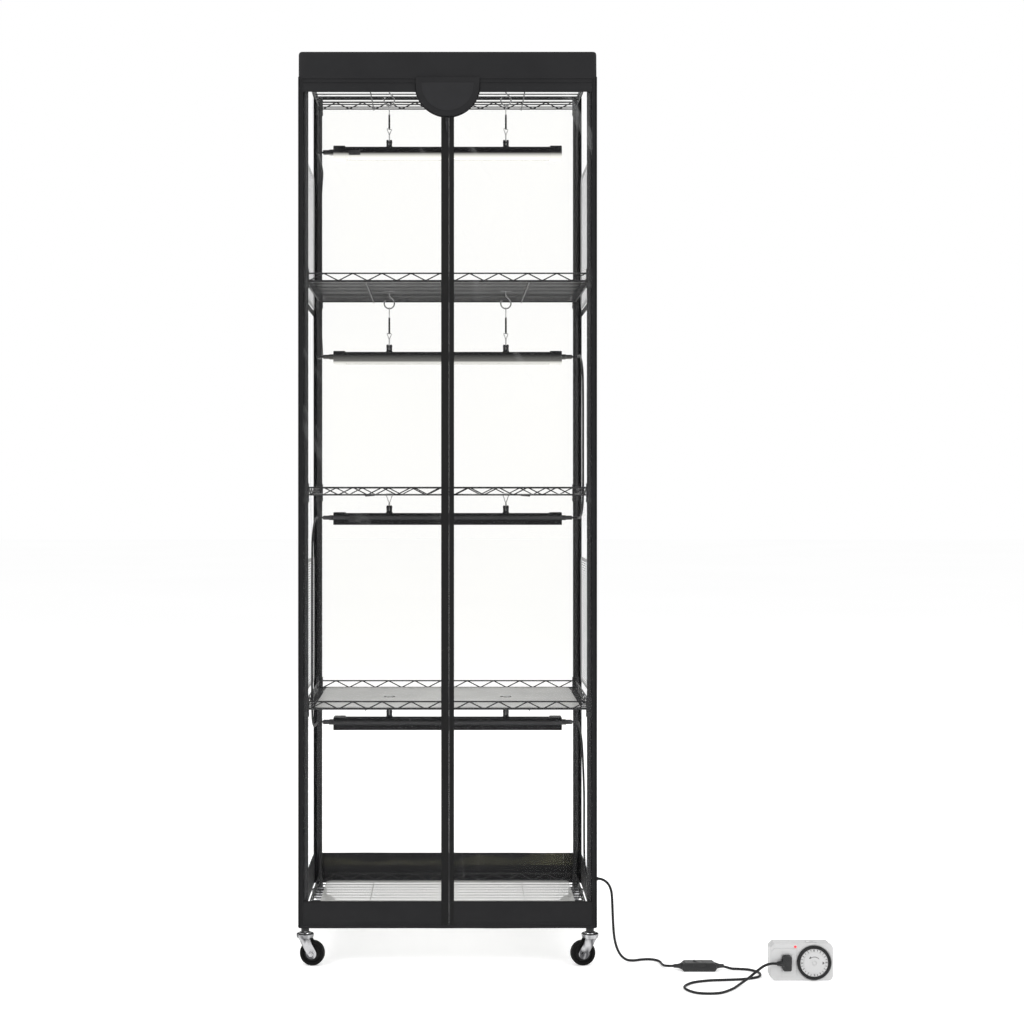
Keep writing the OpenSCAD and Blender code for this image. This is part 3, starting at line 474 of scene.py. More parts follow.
def wires(bm, paths, diameter, sides=8, closed=False, index=0):
    """Round wire along each path of points in millimetres."""
    data = bpy.data.curves.new("wire", "CURVE")
    data.dimensions = "3D"
    data.fill_mode = "FULL"
    data.bevel_depth = diameter / 2 * MM
    data.bevel_resolution = max(0, sides // 2 - 2)
    data.use_fill_caps = True
    for path in paths:
        run = data.splines.new("POLY")
        run.points.add(len(path) - 1)
        for point, at in zip(run.points, path):
            point.co = (*(Vector(at) * MM), 1)
        run.use_cyclic_u = closed
    drawn = bpy.data.objects.new("wire", data)
    scene.collection.objects.link(drawn)
    depsgraph = bpy.context.evaluated_depsgraph_get()
    mesh = bpy.data.meshes.new_from_object(drawn.evaluated_get(depsgraph))
    bpy.data.objects.remove(drawn)
    bpy.data.curves.remove(data)
    new = bmesh.new()
    new.from_mesh(mesh)
    bpy.data.meshes.remove(mesh)
    join(bm, outward(new), None, index)


def arc(cx, cy, r, start, end, steps):
    """Points of an arc in a plane, in degrees."""
    turns = [math.radians(start + (end - start) * i / steps) for i in range(steps + 1)]
    return [(cx + r * math.cos(t), cy + r * math.sin(t)) for t in turns]


def rounded(w, d, r, cx=0, cy=0, steps=6):
    """A rectangle with rounded corners."""
    points = []
    for sx, sy, start in ((1, 1, 0), (-1, 1, 90), (-1, -1, 180), (1, -1, 270)):
        points += arc(cx + sx * (w / 2 - r), cy + sy * (d / 2 - r), r, start, start + 90, steps)
    return points


def spline(points, steps=6):
    """A smooth curve through points."""
    smooth = []
    for i in range(len(points) - 1):
        a, b = Vector(points[max(i - 1, 0)]), Vector(points[i])
        c, d = Vector(points[i + 1]), Vector(points[min(i + 2, len(points) - 1)])
        for k in range(steps):
            t = k / steps
            smooth.append(0.5 * (2 * b + (c - a) * t + (2 * a - 5 * b + 4 * c - d) * t * t
                                 + (3 * b - a - 3 * c + d) * t ** 3))
    return smooth + [Vector(points[-1])]


def bent(points, radius, closed=False, steps=5):
    """A path of straight runs with rounded bends."""
    path = []
    count = len(points)
    for i, here in enumerate(points):
        here = Vector(here)
        if not closed and i in (0, count - 1):
            path.append(here)
            continue
        before = here + (Vector(points[i - 1]) - here).normalized() * radius
        after = here + (Vector(points[(i + 1) % count]) - here).normalized() * radius
        for k in range(steps + 1):
            t = k / steps
            path.append((1 - t) ** 2 * before + 2 * t * (1 - t) * here + t * t * after)
    return path


# %% [markdown]
# The power cord comes first, because its room decides what the picture can hold. It leaves
# a grommet low on the right side, hangs to the floor, meets an inline switch and ends in
# the plug on the timer. Its points are those of the CAD route, in millimetres.

# %% Power cord
CORD_A = [(297, -165, 168), (304, -165, 168), (311, -165, 167.2), (318, -165.4, 164.4),
          (324, -166, 159.6), (328.6, -167, 153), (331.4, -168, 145), (333, -169.4, 134),
          (334, -172, 108), (334.8, -175, 82), (336.6, -177.5, 56), (341, -178.6, 35),
          (349, -178.2, 18), (361, -175, 7), (376, -168, 3), (392, -161, 2.7), (407, -158, 2.7),
          (416, -159.8, 2.7), (423.4, -164.6, 2.7), (428.2, -171.8, 2.7), (430, -180.5, 2.8),
          (430.8, -192, 3.2), (432, -204, 4.2), (434, -213, 5.4), (439, -221, 7),
          (447, -226.4, 8.4), (456, -228, 9), (463.8, -228, 9)]
CORD_B = [(536.2, -228, 9), (545, -228, 8.6), (554, -228, 6.6), (566, -227.2, 3.4),
          (580, -227.4, 2.7), (600, -233, 2.7), (615, -252, 2.7), (610, -280, 2.7),
          (580, -296, 2.7), (542, -302, 2.7), (505, -307, 2.7), (471, -323, 2.7),
          (454, -354, 2.7), (473, -386, 2.7), (514, -388, 2.7), (544, -362, 2.7),
          (563, -334, 3.4), (582, -318, 10), (598, -311, 20), (612, -309, 30),
          (622, -309, 34.6), (631, -309, 36.2), (639.3, -309, 36.2)]
CORD_DIAMETER = 5.0


def cord_length(path):
    return sum((b - a).length for a, b in zip(path, path[1:])) * MM


def power_cord(name, points, node):
    path = spline(points, 8)
    bm = bmesh.new()
    wires(bm, [path], CORD_DIAMETER, 16)
    made = piece(name, bm, cord_skin, "cabinet", [node])
    length = cord_length(path)
    print(name, "length", round(length, 3))
    path[0] * MM
    [p * MM for p in path]


# %% [markdown]
# The inline switch is a moulded two-part body with a parting line, stepped ends that grip
# the cord, and a rocker in a well. The rocker stands tipped to one side, as it is when on.

# %% Inline switch and its rocker
SWITCH_AT = Vector((500, -228, 0))
at_switch = moved(SWITCH_AT)
bm = bmesh.new()
SHELL = [(-34, 4), (-31, 0.4), (31, 0.4), (34, 4), (34, 13), (28, 17.8), (11, 17.8), (11, 11),
         (-11, 11), (-11, 17.8), (-28, 17.8), (-34, 13)]
plate(bm, SHELL, -12.5, 12.5, "Y", 1.8, matrix=at_switch)
for side in (-1, 1):
    block(bm, -11.4, 11.4, side * 5.8, side * 12, 9, 17.8, 0.8, matrix=at_switch)
    profile = [(0, 30), (7.2, 30), (6.4, 36), (5.4, 37), (4.6, 40), (4.2, 41), (3.9, 46), (3.4, 50),
               (0, 50)]
    turned(bm, [(r, side * h) for r, h in profile], (500, -228, 9), "X", 24)
plate(bm, rounded(66, 25.4, 7), 8.8, 9.2, "Z", matrix=at_switch)
switch_body = piece("inline_switch_shell", bm, black_plastic, "cabinet", ["inline_switch"])
bm = bmesh.new()
tip = moved(SWITCH_AT + Vector((0, 0, 16.4)), 7, "Y")
plate(bm, [(-9.6, 3.2), (-5, 1.9), (0, 1.4), (5, 1.9), (9.6, 3.2), (9.6, -2.6), (4, -4.4), (-4, -4.4),
           (-9.6, -2.6)], -5.2, 5.2, "Y", 0.5, matrix=tip)
for x in (-7.2, -6.2, 6.2, 7.2):
    block(bm, x - 0.25, x + 0.25, -3.4, 3.4, 2.4, 2.9, 0.1, 1, matrix=tip)
piece("inline_rocker_cap", bm, grey_plastic, "inline_rocker", ["inline_rocker"])

# %% [markdown]
# The timer lies on its long side, so its own "up" points to +X. Everything on it is made
# in a frame where u runs along the case, towards the dial, and v across it.

# %% Timer case
TIMER_AT = Vector((690, -300, 36.2))
DIAL_U = 23.5
DIAL_AT = TIMER_AT + Vector((DIAL_U, 0, 0))
at_timer = moved(TIMER_AT)
at_dial = moved(DIAL_AT)
case = [(-61.5, 28), (-61.5, -28), (-53.5, -36)] + arc(51.5, -26, 10, 270, 360, 6) \
    + arc(51.5, 26, 10, 0, 90, 6) + [(-53.5, 36)]
bm = bmesh.new()
plate(bm, case, 0, 15, "Y", 1.6, matrix=at_timer, segments=3)
plate(bm, [(u * 0.985, v * 0.985) for u, v in case], 15.4, 34, "Y", 1.8, matrix=at_timer, segments=3)
plate(bm, [(u * 0.975, v * 0.975) for u, v in case], 14, 16.5, "Y", matrix=at_timer)
plate(bm, [(-61, 20), (-61, -20), (-54, -27), (-39.5, -27), (-39.5, 27), (-54, 27)], -1.6, 1, "Y", 0.6,
      matrix=at_timer)
for v0, v1 in ((-27, -15.2), (15.2, 27)):
    block(bm, -40, -11, -1.6, 1, v0, v1, 0.6, matrix=at_timer)
block(bm, -20.6, -11, -1.6, 1, -16, 16, 0.6, matrix=at_timer)
turned(bm, [(34.6, -1.2), (36, -1.2), (36.4, 0.6), (34.2, 0.6)], DIAL_AT, "Y", 72)
turned(bm, [(0, -5.4), (3.2, -5.4), (3.92, -4.8), (3.92, 0), (0, 0)], DIAL_AT, "Y", 32)
piece("timer_shell", bm, white_plastic, "cabinet", ["timer_case"])
bm = bmesh.new()
for v in (-6.4, 6.4):
    block(bm, -38, -31, 33, 51, v - 0.8, v + 0.8, 0.5, matrix=at_timer)
turned(bm, [(0, 33), (2.4, 33), (2.4, 50), (1.6, 52), (0, 52)], TIMER_AT + Vector((-20, 0, 0)), "Y", 20)
piece("timer_prongs", bm, brass, "cabinet")
bm = bmesh.new()
turned(bm, [(0, -0.8), (2.2, -0.8), (2.6, 0), (2.6, 1), (0, 1)], TIMER_AT + Vector((-12.5, 0, 30.2)),
       "Y", 24)
piece("timer_lamp", bm, red_lamp, "cabinet")

# %% [markdown]
# The dial turns once a day. Ninety-six small black pins stand round it, one for each
# quarter of an hour, and the white disc carries hour marks, a pointer and an arrow.

# %% Timer dial and pins
PINS = 96
bm = bmesh.new()
turned(bm, [(26.9, -3.7), (4.02, -3.7), (4.02, -0.3), (26.9, -0.3)], DIAL_AT, "Y", 96)
turned(bm, [(4.02, -5.3), (19.8, -5.3), (21, -4.6), (21, -0.4), (4.02, -0.4)], DIAL_AT, "Y", 72)
turned(bm, [(4.5, -5.8), (6.6, -5.8), (7, -5.2), (4.5, -5.2)], DIAL_AT, "Y", 40)
for hour in range(24):
    turn = moved(DIAL_AT, 15 * hour, "Y")
    long = hour % 2 == 0
    block(bm, 21.8 if long else 23, 26.2, -3.9, -3.6, -0.5, 0.5, index=1, matrix=turn)
    if hour % 6 == 0:
        block(bm, 22.4, 25.8, -3.95, -3.6, 1.1, 1.9, index=1, matrix=turn)
plate(bm, [(16, -3), (16, 3), (19.6, 0)], -5.6, -5.2, "Y", index=1, matrix=at_dial)
sweep = arc(0, 0, 12.4, 40, 130, 14) + arc(0, 0, 11.4, 130, 40, 14)
plate(bm, sweep, -5.6, -5.2, "Y", index=1, matrix=at_dial)
plate(bm, [(-7.2, 13.2), (-6.6, 9), (-10.8, 8.4)], -5.6, -5.2, "Y", index=1, matrix=at_dial)
piece("timer_disc", bm, [white_plastic, grey_plastic], "timer_dial", ["timer_dial"])
bm = bmesh.new()
turned(bm, [(27, -3.2), (33, -3.2), (33, -0.4), (27, -0.4)], DIAL_AT, "Y", 96)
for pin in range(PINS):
    turn = moved(DIAL_AT, 360 / PINS * pin, "Y")
    block(bm, 27.6, 32.8, -5.6, -3, -0.62, 0.62, 0.2, 1, matrix=turn)
piece("timer_pin_ring", bm, black_plastic, "timer_dial", ["timer_pins"])
bm = bmesh.new()
block(bm, 10, 31, 8.1, 17.9, 33.6, 38, 0.8, matrix=at_timer)
for u in (18, 19.6, 21.2, 22.8):
    block(bm, u, u + 0.7, 9, 17, 37.6, 38.6, 0.2, 1, matrix=at_timer)
piece("timer_mode_knob", bm, white_plastic, "timer_mode", ["timer_mode_switch"])

# %% [markdown]
# The plug is a flat moulded body with a wide grip and a tapered, ribbed relief that the
# cord runs into.

# %% Plug and the grommet where the cord leaves the cover
bm = bmesh.new()
plate(bm, [(-38.5, -12), (-36, -14.5), (-24, -14.5), (-21.5, -12), (-21.5, 12), (-24, 14.5), (-36, 14.5),
           (-38.5, 12)], -13, 0, "Y", 1.6, matrix=at_timer, segments=3)
relief = [(0, -36), (7.4, -36), (6.9, -38), (5.9, -39)]
for rib in range(5):
    u = -40.4 - rib * 2
    r = 5.8 - rib * 0.45
    relief += [(r, u), (r, u - 1), (r - 0.7, u - 1.2), (r - 0.7, u - 1.8)]
relief += [(3.1, -50.5), (0, -50.5)]
turned(bm, relief, TIMER_AT + Vector((0, -9, 0)), "X", 28)
for v in (-9, -6, 6, 9):
    block(bm, -35, -25, -13.4, -12.6, v - 0.6, v + 0.6, 0.3, matrix=at_timer)
plug_body = piece("plug_body", bm, black_plastic, "cabinet", ["plug"])
bm = bmesh.new()
GLAND = [(2.6, 297), (6, 297), (6, 298.2), (4.3, 298.3), (4.3, 298.8), (6.5, 298.8), (6.5, 300.4),
         (5.8, 301), (4.2, 301), (4, 303), (3.6, 303.2), (3.7, 304.6), (3.3, 304.8), (3.3, 305.8),
         (2.6, 305.8)]
turned(bm, GLAND, (0, -165, 168), "X", 32)
piece("cord_grommet", bm, black_plastic, "cabinet", ["cord_gland"])
power_cord("power_cord_first_run", CORD_A, "power_cord_a")
power_cord("power_cord_second_run", CORD_B, "power_cord_b")

# %% [markdown]
# Each post is a steel tube with a locating groove every inch and a tapered foot. One
# profile is spun for all four, with the grooves added by a loop.

# %% Posts
POST_X, POST_Y = 287.0, 187.0
POST_R = 6.35
GROOVE_PITCH = 25.4
CORNERS = [(-1, -1), (1, -1), (-1, 1), (1, 1)]
post_lo, post_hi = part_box("posts")
foot_z = post_lo.z / MM
cap_z = post_hi.z / MM
profile = [(4.05, foot_z), (5.2, foot_z), (6, foot_z + 5.2), (POST_R, foot_z + 5.6)]
groove = foot_z + GROOVE_PITCH
while groove < cap_z - 20:
    profile += [(POST_R, groove - 0.9), (5.85, groove - 0.5), (5.85, groove + 0.5), (POST_R, groove + 0.9)]
    groove += GROOVE_PITCH
profile += [(POST_R, cap_z - 3.4), (7.35, cap_z - 3.4), (7.35, cap_z - 1), (POST_R, cap_z), (0, cap_z)]
bm = bmesh.new()
for sx, sy in CORNERS:
    turned(bm, [(0, foot_z)] + profile, (sx * POST_X, sy * POST_Y, 0), "Z", 28)
piece("steel_posts", bm, coat, "cabinet", ["posts"])

# %% [markdown]
# A shelf is welded from three sizes of wire: rails round the edge, a zigzag truss between
# them, and deck wires along the length on two cross wires. Pressed collars at the corners
# slide over split plastic sleeves. One function makes any shelf from its height.

# %% Shelves
RAIL_GAP = 14.9
LOWEST_TOP = 98.1
SHELF_PITCH = 17 * GROOVE_PITCH
DECK_PITCH = 24
SHELF_TOPS = [LOWEST_TOP + SHELF_PITCH * i for i in (4, 3, 2, 1, 0)]


def zigzag(length, waves, place):
    """A bent wire that runs from the bottom rail to the top rail and back."""
    points = []
    for i in range(waves + 1):
        along = -length / 2 + length * i / waves
        points.append(place(along, 0 if i % 2 == 0 else RAIL_GAP))
    return bent(points, 3.2, steps=4)


def shelf(index, top):
    low = top - RAIL_GAP
    rails, trusses, deck = [], [], []
    for side in (-1, 1):
        for z in (low, top):
            rails.append([(-279, side * POST_Y, z), (279, side * POST_Y, z)])
            rails.append([(side * POST_X, -179, z), (side * POST_X, 179, z)])
        trusses.append(zigzag(558, 19, lambda a, h: (a, side * POST_Y, low + h)))
        trusses.append(zigzag(358, 12, lambda a, h: (side * POST_X, a, low + h)))
        deck.append([(side * 165, -POST_Y, low - 2.3), (side * 165, POST_Y, low - 2.3)])
    for row in range(-7, 8):
        y = row * DECK_PITCH
        deck.append([(-POST_X - 1, y, low), (POST_X + 1, y, low)])
    bm = bmesh.new()
    wires(bm, rails, 3.0, 12)
    wires(bm, trusses, 2.5, 10)
    wires(bm, deck, 2.6, 10)
    for sx, sy in CORNERS:
        turned(bm, [(7.3, low - 5), (8, low - 5), (8.2, low - 4), (7.9, low - 3), (7.9, top + 6),
                    (8.2, top + 7), (8, top + 8), (7.3, top + 8)],
               (sx * POST_X, sy * POST_Y, 0), "Z", 36)
    name = "shelf_%d" % index
    piece("wire_" + name, bm, coat, "cabinet", [name])


for index, top in enumerate(SHELF_TOPS, 1):
    shelf(index, top)
bm = bmesh.new()
for top in SHELF_TOPS:
    low = top - RAIL_GAP
    sleeve = [(6.4, low - 15), (7.8, low - 15), (8.1, low - 14), (8, low - 7), (7.6, low - 6.4),
              (7.2, low - 5), (7.2, top + 8), (6.4, top + 8)]
    for sx, sy in CORNERS:
        for half in (0, 180):
            turned(bm, sleeve, steps=16, angle=172, matrix=moved((sx * POST_X, sy * POST_Y, 0), half + 94))
piece("split_sleeves", bm, black_plastic, "cabinet", ["shelf_clips"])
nodes["shelf_liners"].data.materials.clear()
nodes["shelf_liners"].data.materials.append(liner_sheet)

# %% [markdown]
# The cover's opaque cloth is one header at the top, a skirt at the foot and bound corners.
# The header is a shallow lid with soft edges, deep across the front and only a narrow band
# round the sides and rear. It starts as a block, is opened from below, trimmed, given a
# wall, and a slow noise moves its faces a little so that it looks sewn. A tongue of cloth
# hangs behind the badge and closes the gap round it from view.

# %% Header band
HALF_W, HALF_D = 300.0, 197.0
TOP_Z, HEAD_Z, SEAM_Z = 1839.0, 1785.0, 1774.5
BAND_Z = TOP_Z - 4.5
TRIM_REACH = 14
WALL = 1.2
MOUTH_X, DOOR_X = 291.0, 290.9
LIP_FRONT, LIP_MID, LIP_BACK = -195.9, -195.5, -195.3
BADGE_R, BADGE_MID, BADGE_TOP = 64.0, 1771.5, 1787.0


def ripple(bm, depth, scale, keep=lambda co: True):
    """Moves points along their normals by slow noise, as cloth that isn't quite flat."""
    bm.normal_update()
    for v in bm.verts:
        if keep(v.co):
            v.co += v.normal * depth * MM * noise.noise(v.co * scale + Vector((3.1, 7.7, 1.3)))


bm = bmesh.new()
new = bmesh.new()
bmesh.ops.create_cube(new, size=1)
size = Vector((2 * HALF_W, 2 * HALF_D, TOP_Z - HEAD_Z)) * MM
bmesh.ops.scale(new, vec=size, verts=new.verts)
bmesh.ops.translate(new, vec=Vector((0, 0, (TOP_Z + HEAD_Z) / 2)) * MM, verts=new.verts)
soft_edges = [e for e in new.edges if max(v.co.z for v in e.verts) > 1.81]
bmesh.ops.bevel(new, geom=soft_edges, offset=7 * MM, segments=5, affect="EDGES", profile=0.5, material=-1)
floor_faces = [f for f in new.faces if f.normal.z < -0.9]
top_faces = [f for f in new.faces if f.normal.z > 0.99 and f.calc_area() > 0.05]
bmesh.ops.inset_region(new, faces=top_faces, thickness=4 * MM)
bmesh.ops.delete(new, geom=floor_faces + top_faces, context="FACES")
for at, facing in (((0, 0, BAND_Z), (0, 0, 1)), ((0, TRIM_REACH - HALF_D, 0), (0, 1, 0))):
    bmesh.ops.bisect_plane(new, geom=new.verts[:] + new.edges[:] + new.faces[:],
                           plane_co=Vector(at) * MM, plane_no=facing)
spare = [f for f in new.faces if f.calc_center_median().y > (TRIM_REACH - HALF_D) * MM
         and f.calc_center_median().z < BAND_Z * MM]
bmesh.ops.delete(new, geom=spare, context="FACES")
long_edges = [e for e in new.edges if e.calc_length() > 0.1]
bmesh.ops.subdivide_edges(new, edges=long_edges, cuts=24, use_grid_fill=True)
ripple(new, 0.9, 9, lambda co: HEAD_Z * MM + 0.004 < co.z < 1.836)
bmesh.ops.solidify(new, geom=new.faces[:], thickness=WALL * MM)
join(bm, new)
block(bm, -MOUTH_X, MOUTH_X, -197.4, -195.8, HEAD_Z - 1.2, HEAD_Z + 3.4, 0.7)
block(bm, -DOOR_X, DOOR_X, -196.4, -195.6, SEAM_Z, HEAD_Z, 0.2)
for z in (SEAM_Z + 1.2, HEAD_Z - 3.4):
    wires(bm, [[(-290, -196.6, z), (290, -196.6, z)]], 1.1, 8)
reach = BADGE_R + 2.4
backing = [(reach, HEAD_Z), (-reach, HEAD_Z)] + arc(0, BADGE_MID, reach, 180, 360, 40)
plate(bm, backing, LIP_MID, -195.2, "Y")
piece("header_cloth", bm, cloth, "cabinet", ["cover_header"], smooth=50)

# %% [markdown]
# Skirt and corner trims are straight runs of the same cloth that turn a soft corner. One
# outline of the cover's corner, with its wall, is pushed up to the height of each run. A
# lip behind the doors' foot and a flap behind each hinge edge close the gaps from view.


# %% Skirt, hem and corner trims
def corner_strip(bm, sx, sy, reach_x, reach_y, z0, z1, index=0):
    """An upright strip round one corner of the cover, reaching along each face."""
    outer = arc(HALF_W - 7, HALF_D - 7, 7, 0, 90, 6)
    inner = arc(HALF_W - 7, HALF_D - 7, 7 - WALL, 90, 0, 6)
    outline = [(HALF_W, HALF_D - reach_y)] + outer + [(HALF_W - reach_x, HALF_D)]
    outline += [(HALF_W - reach_x, HALF_D - WALL)] + inner + [(HALF_W - WALL, HALF_D - reach_y)]
    plate(bm, [(sx * x, sy * y) for x, y in outline], z0, z1, "Z", index=index)


HEM_Z, SKIRT_TOP = 75.5, 142.5
SEAMS = ((SKIRT_TOP - 3, SKIRT_TOP), (HEM_Z, HEM_Z + 4))
bm = bmesh.new()
for sx in (-1, 1):
    corner_strip(bm, sx, 1, 40, 40, HEM_Z, SKIRT_TOP)
    corner_strip(bm, sx, -1, HALF_W - DOOR_X, TRIM_REACH, HEM_Z, HEM_Z + 6.5)
    block(bm, sx * (HALF_W - WALL), sx * HALF_W, -183, 157, HEM_Z, SKIRT_TOP, 0.3)
    for low, high in SEAMS:
        block(bm, sx * 299.4, sx * 300.6, -183, 160, low, high, 0.5)
block(bm, -260, 260, HALF_D - WALL, HALF_D, HEM_Z, SKIRT_TOP, 0.3)
for low, high in SEAMS:
    block(bm, -262, 262, 196.4, 197.6, low, high, 0.5)
block(bm, -MOUTH_X, MOUTH_X, -197.4, -195.8, HEM_Z, HEM_Z + 6.4, 0.6)
bmesh.ops.subdivide_edges(bm, edges=[e for e in bm.edges if e.calc_length() > 0.3], cuts=30)
ripple(bm, 0.5, 14)
block(bm, -MOUTH_X, MOUTH_X, LIP_FRONT, LIP_MID, HEM_Z + 2, HEM_Z + 6.2)
block(bm, -MOUTH_X, MOUTH_X, LIP_MID, LIP_BACK, HEM_Z + 2, HEM_Z + 10)
piece("skirt_cloth", bm, cloth, "cabinet", ["cover_skirt"], smooth=50)
bm = bmesh.new()
for sx in (-1, 1):
    corner_strip(bm, sx, -1, HALF_W - MOUTH_X, TRIM_REACH, HEM_Z + 6.5, HEAD_Z)
    corner_strip(bm, sx, 1, TRIM_REACH, TRIM_REACH, SKIRT_TOP, BAND_Z)
    wires(bm, [[(sx * 299.2, -196.2, HEM_Z + 2), (sx * 299.2, -196.2, HEAD_Z + 2)]], 2.6, 10, index=1)
    wires(bm, [[(sx * 293.9, -197.2, HEM_Z + 6), (sx * 293.9, -197.2, HEAD_Z)]], 1.5, 8, index=1)
    block(bm, sx * (HALF_W - WALL), sx * (HALF_W - 0.2), -183, 183, 1344, 1357, 0.4)
    for near, front in ((291.2, LIP_FRONT), (289.6, LIP_MID)):
        block(bm, sx * near, sx * 292.6, front, LIP_BACK, HEM_Z + 7, HEAD_Z - 1)
piece("corner_trims", bm, [cloth, piping], "cabinet", ["cover_trims"])

# %% [markdown]
# The clear panels are thin sheets on a grid, pulled by their seams into long slanting
# ripples. The ripples only go outwards, because the shelf corners sit close behind, and the
# side panels bow in a little between the posts.


# %% Clear panels
def clear_panel(name, wide, high, cells, put, swell, finish, body, node, hole=None, clip=None):
    """A film panel. put(a, b) is a point's place and outward direction for a, b in millimetres."""
    bm = bmesh.new()
    bmesh.ops.create_grid(bm, x_segments=cells[0], y_segments=cells[1], size=0.5)
    gone = []
    for face in bm.faces:
        centre = face.calc_center_median()
        if hole and hole(centre.x * wide, centre.y * high):
            gone.append(face)
    bmesh.ops.delete(bm, geom=gone, context="FACES")
    for v in bm.verts:
        a, b = v.co.x * wide, v.co.y * high
        if clip:
            a, b = clip(a, b)
        at, out = put(a, b)
        edge = min(1.0, (wide / 2 - abs(a)) / 40, (high / 2 - abs(b)) / 60)
        wave = noise.noise(Vector((a / 90 + b / 260, b / 420 - a / 200, 4.2 + wide / 100)))
        wave += 0.4 * noise.noise(Vector((a / 34 + b / 90, b / 170, 9.4)))
        v.co = (Vector(at) + Vector(out) * swell * max(0.0, edge) * (0.5 + 0.5 * wave)) * MM
    bm.normal_update()
    bmesh.ops.solidify(bm, geom=bm.faces[:], thickness=0.4 * MM)
    return piece(name, bm, finish, body, [node], smooth=60)


VENTS = ((1358, 1654), (532, 809))
VENT_LAP = 9
WINDOW_Y = (-165, 172)
WINDOW_W = WINDOW_Y[1] - WINDOW_Y[0]


def in_window(y, z):
    """Whether the side film is cut away here, behind a vent."""
    beside = WINDOW_Y[0] < y < WINDOW_Y[1]
    return beside and any(low + VENT_LAP < z < high - VENT_LAP for low, high in VENTS)


PANEL_LOW, PANEL_HIGH = 115.5, 1831.0
panel_mid = (PANEL_LOW + PANEL_HIGH) / 2
panel_h = PANEL_HIGH - PANEL_LOW
side_w = 380.0
for sx, label in ((-1, "left"), (1, "right")):
    def side_place(a, b, sx=sx):
        bow = -4.2 * max(0.0, 1 - (a / 165) ** 2)
        return (sx * (298.5 + bow), a, panel_mid + b), (sx, 0, 0)

    panel = clear_panel("side_panel_" + label, side_w, panel_h, (38, 134), side_place, 1.2, side_vinyl,
                        "cabinet", "cover_side_film_" + label,
                        hole=lambda a, b: in_window(a, panel_mid + b))
    windows = sum(high - low - 2 * VENT_LAP for low, high in VENTS) * WINDOW_W * MM * MM
    side_w * panel_h * MM * MM - windows
rear = clear_panel("rear_panel", 586, panel_h, (40, 100),
                   lambda a, b: ((a, 195.4, panel_mid + b), (0, 1, 0)), 2.5, rear_vinyl,
                   "cabinet", "cover_rear_film")
roof = clear_panel("roof_panel", 584, 378, (40, 28),
                   lambda a, b: ((a, b, 1837.2), (0, 0, -1)), 1.6, side_vinyl, "cabinet", "cover_top_film")

# %% [markdown]
# Each side has two vents of white netting in a welded frame. The net is two layers of
# flat threads that cross, one thread to each few millimetres.

# %% Mesh vents
NET_PITCH = 5.3
binding_w = WINDOW_W + 2 * VENT_LAP
mid_y = sum(WINDOW_Y) / 2
bm = bmesh.new()
for sx in (-1, 1):
    for z0, z1 in VENTS:
        outer = rounded(binding_w, z1 - z0, 22, mid_y, (z0 + z1) / 2)
        inner = rounded(binding_w - 16, z1 - z0 - 16, 16, mid_y, (z0 + z1) / 2)
        x0, x1 = sorted((sx * 297.6, sx * 298.2))
        ring = bmesh.new()
        skin(ring, [[(x, y, z) for y, z in outline]
                    for x, outline in ((x0, inner), (x0, outer), (x1, outer), (x1, inner), (x0, inner))])
        join(bm, outward(ring), index=1)
        y = WINDOW_Y[0] + 2.0
        while y < WINDOW_Y[1] - 2:
            block(bm, x0 + 0.25, x0 + 0.3, y, y + 0.6, z0 + 5, z1 - 5, index=1)
            y += NET_PITCH
        z = z0 + 10.0
        while z < z1 - 8:
            block(bm, x0 + 0.3, x0 + 0.6, WINDOW_Y[0] - 1, WINDOW_Y[1] + 1, z, z + 1.6)
            z += NET_PITCH
piece("vent_nets", bm, [net_thread, net_edge], "cabinet", ["vent_meshes"], smooth=0)

# %% [markdown]
# The badge hangs over the top of the doors: a plate with a round lower edge, a raised
# border and a sunk field. It is left bare.

# %% Badge
def badge_outline(grow):
    reach = BADGE_R + grow
    round_edge = arc(0, BADGE_MID, reach, 180, 360, 48)
    return [(reach, BADGE_TOP + grow), (-reach, BADGE_TOP + grow)] + round_edge


bm = bmesh.new()
new = bmesh.new()
steps = ((0, -197), (0, -199.4), (-1.6, -200.4), (-9.4, -200.4), (-11, -199.6), (-11.6, -199))
rings = skin(new, [[(x, y, z) for x, z in badge_outline(grow)] for grow, y in steps])
new.faces.new(rings[0])
new.faces.new(rings[-1])
outward(new)
join(bm, new)
for face in bm.faces:
    if len(face.verts) > 8 and abs(face.calc_center_median().y + 0.199) < 0.0001:
        face.material_index = 1
plate(bm, badge_outline(-2)[2:], -197, -196.5, "Y")
piece("bare_badge", bm, [badge_gloss, badge_field], "cabinet", ["badge"], smooth=30)

# %% [markdown]
# A door is a clear panel with a cloth band along the top and the foot, and a stile that
# carries half of the zip. The inner top corner is cut round the badge. Stitches run beside
# each seam, and the zip's teeth are small blocks, set by turns with those of the other door.

# %% Doors
DOOR_LOW, DOOR_HIGH = 82.3, 1774.3
CLOTH_FRONT, CLOTH_BACK = -197.4, -196.4
TOOTH = 1.3
NOTCH = BADGE_R + 0.7
STILE_TOP = BADGE_MID - NOTCH + 0.4
CLOTH_X = DOOR_X - 0.5


def clear_of_badge(x, z):
    """Moves a point that lies inside the badge's outline straight out of it."""
    away = Vector((x, z - BADGE_MID))
    if z > BADGE_MID and abs(x) < NOTCH:
        return math.copysign(NOTCH, x), z
    if z <= BADGE_MID and away.length < NOTCH:
        away = away.normalized() * NOTCH
        return away.x, BADGE_MID + away.y
    return x, z


